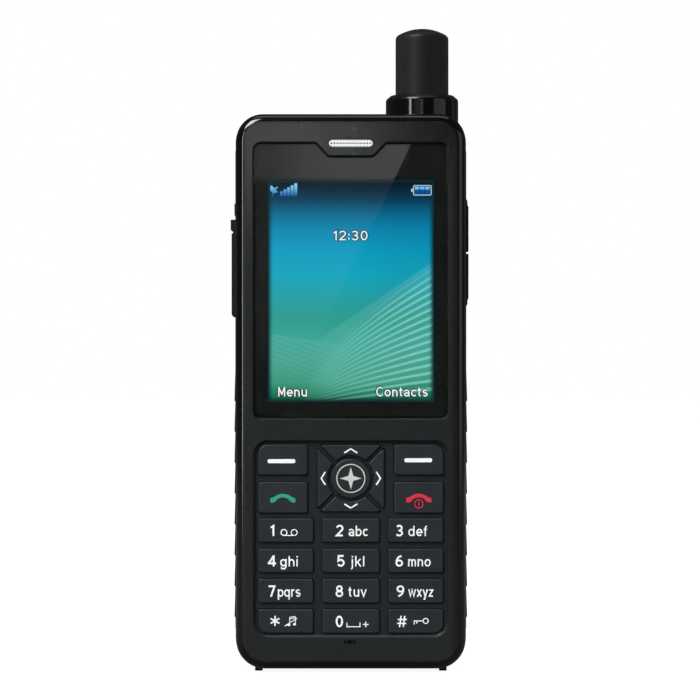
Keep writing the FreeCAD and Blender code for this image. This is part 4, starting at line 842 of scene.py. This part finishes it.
def call_legends():
    green = ink_material("ink_green", rgb(52, 160, 128))
    red = ink_material("ink_red", rgb(214, 52, 74))
    dark = ink_material("ink_dark", rgb(30, 34, 37))
    line, widths = receiver(0.5)
    print_lines("call_key", "call_key_receiver", [line], green, widths)
    line, widths = receiver(0.55)
    print_lines("end_key", "end_key_receiver", [line], red, widths)
    end_x, end_z = key_middle("end_key")
    x, z = end_x, end_z - 1.55 * MM
    front = ink_front("end_key")
    ground = circle(x, z, 1.32 * MM)
    cut_sheet("end_key_power_ground", [ground], front - 0.004 * MM, INK_DEPTH, dark, "end_key")
    lines = [loop(x, z, 1.02 * MM, 1.02 * MM), [(x, z - 0.55 * MM), (x, z + 0.55 * MM)]]
    ribbons("end_key_power_mark", lines, 0.24 * MM, front - 0.008 * MM, INK_DEPTH, red, "end_key")


def chevrons(white):
    """Direction marks, a shallow chevron on each direction key."""
    pad_x, pad_z = key_middle("nav_key_center")
    reach, half_span, rise = 6.75, 1.6, 0.5
    for name, turn in (("up", 0), ("left", 90), ("down", 180), ("right", 270)):
        key = "nav_key_" + name
        angle = math.radians(turn)
        placed = []
        for x, z in ((-half_span, reach - rise), (0, reach + rise), (half_span, reach - rise)):
            placed.append((pad_x + (x * math.cos(angle) - z * math.sin(angle)) * MM,
                           pad_z + (x * math.sin(angle) + z * math.cos(angle)) * MM))
        ribbons(key + "_chevron", [placed], 0.34 * MM, ink_front(key), INK_DEPTH, white, key)


def centre_badge():
    """Silver ring with a plain compass star on the centre key."""
    silver = metal("badge_silver", rgb(235, 236, 232), 0.42).material
    silver.node_tree.nodes["Principled BSDF"].inputs["Metallic"].default_value = 0.3
    ring = [bow(0, 0, 3.42, 3.42, 0, 360, 64)]
    print_lines("nav_key_center", "nav_center_ring", ring, silver, 0.27 * MM)
    star = []
    for index in range(8):
        angle = math.radians(90 + 45 * index)
        reach = 2.75 if index % 2 == 0 else 0.85
        star.append((reach * math.cos(angle), reach * math.sin(angle)))
    print_sheet("nav_key_center", "nav_center_star", [star], silver)


# ---- display ----

DISPLAY_HALF_WIDTH = 20.4 * MM
DISPLAY_LOW = 5.3 * MM
DISPLAY_HIGH = 59.7 * MM
PRINT_BEHIND = 0.03 * MM


def display_area():
    """Lit area as (left, right, bottom, top), measured from the LCD module's own box."""
    low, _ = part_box("lcd_module")
    return -DISPLAY_HALF_WIDTH, DISPLAY_HALF_WIDTH, low.z + DISPLAY_LOW, low.z + DISPLAY_HIGH


def display_front():
    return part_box("lcd_module")[0].y


def wallpaper():
    """Lit sheet on the LCD's front."""
    left, right, bottom, top = display_area()
    margin = 0.4 * MM
    outline = rounded_rectangle(left - margin, right + margin, bottom - margin, top + margin, 0.3 * MM)
    image = display_material(left, bottom, right - left, top - bottom)
    y_front = display_front() - 0.04 * MM
    sheet = cut_sheet("display_wallpaper", [outline], y_front, 0.06 * MM, image, "handset")


def lens_border():
    """Black print just inside the back of the lens, with the window left clear."""
    low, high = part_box("display_lens")
    left, right, bottom, top = display_area()
    inset = 0.15 * MM
    step, foot, shoulder = 3.3 * MM, 5.5 * MM, 8.7 * MM
    edge_top = high.z - inset
    outer = rounded_rectangle(low.x + inset, high.x - inset, low.z + inset, edge_top, 1.4 * MM)
    notch = [(-shoulder, edge_top), (-foot, edge_top - step), (foot, edge_top - step), (shoulder, edge_top)]
    corner = next(i for i, (x, z) in enumerate(outer) if x < 0 and z > edge_top - 1e-6)
    outer = outer[:corner] + notch[::-1] + outer[corner:]
    window = rounded_rectangle(left, right, bottom, top, 0.15 * MM)
    black = lens_print_material()
    y_front = high.y - PRINT_BEHIND
    sheet = cut_sheet("lens_border_print", [outer, window], y_front, 0.02 * MM, black, "handset")


def screen_words():
    left, right, bottom, _ = display_area()
    y = display_front() - 0.05 * MM
    white = glow_material("display_white", (1.0, 1.0, 1.0), 0.95)
    dark = glow_material("display_outline", rgb(14, 44, 48), 1.0)
    height = 2.35 * MM
    base = bottom + 1.35 * MM
    lines = [
        ("menu_word", "Menu", (left + 2.5 * MM, base, 7.2 * MM, height)),
        ("contacts_word", "Contacts", (right - 14.2 * MM, base, 12.7 * MM, height)),
        ("clock_digits", "12:30", (-4.4 * MM, bottom + 39.7 * MM, 8.6 * MM, height)),
    ]
    for name, text, place in lines:
        words(name, text, place, 0.34 * MM, y - 0.02 * MM, 0.01 * MM, white, "handset")
        words(name + "_edge", text, place, 0.78 * MM, y, 0.01 * MM, dark, "handset")


ICON_DEPTH = 0.01 * MM


def status_icons():
    y = display_front() - 0.06 * MM
    blue = icon_material("display_icon_blue", 4.2 * MM, 1.0 * MM)
    signal_bars(y, blue)
    dish_icon(y, blue)
    battery_icon(y)


def signal_bars(y, blue):
    """Five bars, each taller than the one before."""
    left, _, _, top = display_area()
    base = top - 3.9 * MM
    bars = []
    for index in range(5):
        x = left + (3.0 + index * 0.88) * MM
        height = (1.2 + index * 0.5) * MM
        bars.append(rounded_rectangle(x, x + 0.72 * MM, base, base + height, 0.08 * MM, 2))
    cut_sheet("signal_bars", bars, y, ICON_DEPTH, blue, "handset")


def dish_icon(y, blue):
    """Small dish on a mast."""
    left, _, _, top = display_area()
    x, z = left + 1.7 * MM, top - 2.0 * MM
    dish = bow(x, z, 1.15 * MM, 1.15 * MM, 135, 315)
    cut_sheet("dish_icon", [dish], y, ICON_DEPTH, blue, "handset")
    mast = [(x - 0.35 * MM, z - 1.0 * MM), (x - 0.55 * MM, z - 2.0 * MM)]
    feed = [(x - 0.2 * MM, z - 0.2 * MM), (x + 0.75 * MM, z + 0.35 * MM)]
    ribbons("dish_icon_mast", [mast, feed], 0.3 * MM, y, ICON_DEPTH, blue, "handset")


def battery_icon(y):
    """Battery outline with three charged cells."""
    pale = glow_material("display_pale", rgb(200, 222, 240), 0.9)
    charge = icon_material("display_charge_blue", 2.5 * MM, 1.8 * MM)
    _, right, _, top = display_area()
    left_edge, right_edge = right - 5.1 * MM, right - 0.55 * MM
    low, high = top - 3.7 * MM, top - 1.15 * MM
    wall = 0.22 * MM
    outside = rounded_rectangle(left_edge, right_edge, low, high, 0.4 * MM)
    inside = rounded_rectangle(left_edge + wall, right_edge - wall, low + wall, high - wall, 0.25 * MM)
    middle, half_nub = (low + high) / 2, 0.4 * MM
    nub_left, nub_right = left_edge - 0.5 * MM, left_edge - 0.08 * MM
    nub = rounded_rectangle(nub_left, nub_right, middle - half_nub, middle + half_nub, 0.15 * MM)
    cut_sheet("battery_icon_case", [outside, inside, nub], y, ICON_DEPTH, pale, "handset")
    margin, cell_width = 0.4 * MM, 1.1 * MM
    cells = []
    for index in range(3):
        x = left_edge + (0.42 + index * 1.27) * MM
        cells.append(rounded_rectangle(x, x + cell_width, low + margin, high - margin, 0.1 * MM, 2))
    cut_sheet("battery_icon_cells", cells, y, ICON_DEPTH, charge, "handset")


# ---- earpiece ----

GRILLE_PITCH = 0.73 * MM
GRILLE_HOLES = 14
GRILLE_HOLE_RADIUS = 0.27 * MM
GRILLE_SCALLOP = 0.42 * MM
GRILLE_BEVEL = 0.03 * MM


def grille_material():
    shader = Shader("grille_silver", metallic=0.05, roughness=0.4)
    grain = shader.noise(4200, 3)
    shader.set("Base Color", shader.mix(grain, rgb(246, 247, 248), rgb(255, 255, 255)))
    shader.set("Roughness", shader.band(grain, 0.3, 0.7, 0.32, 0.46))
    return shader.material


def grille_rim(half_width, half_height):
    """Outline of the strip round its own middle, scalloped above and below each hole."""
    end_radius = half_height * 0.8
    straight = half_width - end_radius
    steps = 12 * GRILLE_HOLES
    upper = []
    for step in range(steps + 1):
        x = straight * (1 - 2 * step / steps)
        dip = max(0.0, -math.cos(2 * math.pi * x / GRILLE_PITCH)) ** 0.8
        upper.append((x, half_height - GRILLE_SCALLOP * dip))
    left_end = bow(-straight, 0, end_radius, end_radius, 105, 255, 10)
    half = upper + left_end
    return half + [(-x, -z) for x, z in half]


def grille():
    """Perforated bright strip: one whole row of holes, with half holes scalloping both long edges."""
    low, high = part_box("earpiece_grille")
    middle_x, middle_z = (low.x + high.x) / 2, (low.z + high.z) / 2
    rim = shifted(grille_rim((high.x - low.x) / 2, (high.z - low.z) / 2), middle_x, middle_z)
    outlines = [rim]
    for index in range(GRILLE_HOLES):
        x = middle_x + (index - (GRILLE_HOLES - 1) / 2) * GRILLE_PITCH
        outlines.append(circle(x, middle_z, GRILLE_HOLE_RADIUS, 12))
    depth = high.y - low.y
    silver = grille_material()
    strip = cut_sheet("earpiece_grille_strip", outlines, low.y, depth, silver, "handset", GRILLE_BEVEL)
    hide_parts("earpiece_grille")


# ---- stage ----

FLOOR_HALF = 4.0


def floor():
    """Floor that looks nearly white, with a painted shadow that makes it a little darker under the handset,
    but gives much less light.
    """
    mesh = bpy.data.meshes.new("floor")
    net = bmesh.new()
    bmesh.ops.create_grid(net, x_segments=8, y_segments=8, size=FLOOR_HALF)
    net.to_mesh(mesh)
    net.free()
    shader = Shader("floor_pale", roughness=0.8)
    cloud = shader.noise(3, 3)
    shader.set("Base Color", shader.mix(cloud, (0.045, 0.045, 0.045), (0.05, 0.05, 0.05)))
    x, y, _ = shader.axes()
    squares = shader.math("ADD", shader.both(x, x), shader.both(y, y))
    # painted shadow: the floor's emission is a little lower close to the handset
    clear_of_painted_shadow = shader.band(shader.math("SQRT", squares), 0.03, 0.16)
    shader.set("Emission Color", shader.mix(clear_of_painted_shadow, (0.93, 0.93, 0.93), (1.0, 1.0, 1.0)))
    seen = shader.node("ShaderNodeLightPath").outputs["Is Camera Ray"]
    shader.set("Emission Strength", shader.band(seen, 0.0, 1.0, 0.06, 1.0, smooth=False))
    mesh.materials.append(shader.material)
    plane = bpy.data.objects.new("floor", mesh)
    bpy.context.scene.collection.objects.link(plane)


def area_light(name, place, target, size, power):
    """Rectangular soft light that points at a target."""
    data = bpy.data.lights.new(name, "AREA")
    data.shape = "RECTANGLE"
    data.size, data.size_y = size
    data.energy = power
    light = bpy.data.objects.new(name, data)
    light.location = place
    light.rotation_euler = (Vector(target) - Vector(place)).to_track_quat("-Z", "Y").to_euler()
    bpy.context.scene.collection.objects.link(light)
    return light


CARD_BEHIND_CAMERA = 0.03
CARD_CORNERS = [(0.046, 0.215), (-0.035, 0.045), (-0.30, 0.045), (-0.30, 0.215)]


def gloss_card():
    """Upright reflector beside the camera; its slanted edge shows as the slanted gloss on the lens."""
    mesh = bpy.data.meshes.new("gloss_card")
    y = -CAMERA_DISTANCE - CARD_BEHIND_CAMERA
    mesh.from_pydata([(x, y, z) for x, z in CARD_CORNERS], [], [(0, 1, 2, 3)])
    shader = Shader("gloss_card", roughness=1.0)
    across, _, height = shader.axes()
    faint = shader.band(height, 0.05, 0.11, 0.05, 0.2)
    sideways = shader.band(across, -0.050, -0.004, 0.34, 1.0)
    strong = shader.both(shader.band(height, 0.1625, 0.1665), sideways)
    shader.set("Base Color", (0.0, 0.0, 0.0))
    shader.set("Emission Color", (1.0, 1.0, 1.0))
    shader.set("Emission Strength", shader.math("ADD", faint, strong))
    mesh.materials.append(shader.material)
    card = bpy.data.objects.new("gloss_card", mesh)
    card.visible_camera = False
    bpy.context.scene.collection.objects.link(card)


HANDSET_MIDDLE = (0.0, 0.0, 0.08)
BEZEL_LEFT = (-0.017, -0.0135, 0.134)
GLOW_PLACE = (-0.040, -0.66, 0.226)
GLOW_SPREAD = math.radians(4.1)

# name: place and size in metres, power in watts; all point at the handset's middle
STUDIO_LIGHTS = {
    "key_left_top": ((-0.45, -0.60, 0.82), (0.50, 0.50), 13.4),
    "highlight_left": ((-0.50, -0.64, 0.14), (0.07, 0.50), 1.35),
    "panel_right": ((0.80, -0.50, 0.12), (0.70, 0.80), 1.2),
    "edge_right": ((0.60, 0.28, 0.15), (0.06, 0.60), 0.03),
    "top_soft": ((0.0, 0.0, 0.85), (0.60, 0.26), 0.75),
}
# lights for the back and the sides that leave no highlights, in the same form
FILL_LIGHTS = {
    "back_fill": ((0.30, 1.00, 0.60), (0.50, 0.50), 34.0),
    "side_left": ((-0.90, 0.30, 0.50), (0.50, 0.50), 16.0),
    "side_right": ((0.90, 0.30, 0.50), (0.50, 0.50), 16.0),
}


def lights():
    for name, (place, size, power) in STUDIO_LIGHTS.items():
        area_light(name, place, HANDSET_MIDDLE, size, power)
    for name, (place, size, power) in FILL_LIGHTS.items():
        fill = area_light(name, place, HANDSET_MIDDLE, size, power)
        fill.visible_glossy = False
    glow = area_light("face_glow", GLOW_PLACE, BEZEL_LEFT, (0.05, 0.04), 0.00021)
    glow.data.spread = GLOW_SPREAD


def world():
    """White surroundings for the camera, dimmer for the light they give."""
    scene_world = bpy.data.worlds.new("studio")
    scene_world.use_nodes = True
    tree = scene_world.node_tree
    background = tree.nodes["Background"]
    path = tree.nodes.new("ShaderNodeLightPath")
    mix = tree.nodes.new("ShaderNodeMix")
    mix.data_type = "RGBA"
    tree.links.new(path.outputs["Is Camera Ray"], mix.inputs["Factor"])
    mix.inputs[6].default_value = (0.05, 0.05, 0.053, 1)
    mix.inputs[7].default_value = (1, 1, 1, 1)
    tree.links.new(mix.outputs[2], background.inputs["Color"])
    bpy.context.scene.world = scene_world


def camera():
    data = bpy.data.cameras.new("camera")
    data.sensor_width = SENSOR
    data.lens = SENSOR * CAMERA_DISTANCE / VIEW_WIDTH
    data.clip_start = 0.01
    eye = bpy.data.objects.new("camera", data)
    eye.location = (CAMERA_X, -CAMERA_DISTANCE, CAMERA_HEIGHT)
    eye.rotation_euler = (math.pi / 2, 0, 0)
    bpy.context.scene.collection.objects.link(eye)
    bpy.context.scene.camera = eye


# ---- the model ----

bpy.context.scene.view_settings.view_transform = "Standard"
camera()
world()
floor()
lights()
gloss_card()
dress_cad_nodes(slot_materials())
legend_white = ink_material("ink_white", rgb(252, 253, 253))
dial_legends(legend_white)
soft_key_bars(legend_white)
call_legends()
chevrons(legend_white)
centre_badge()
wallpaper()
lens_border()
screen_words()
status_icons()
grille()
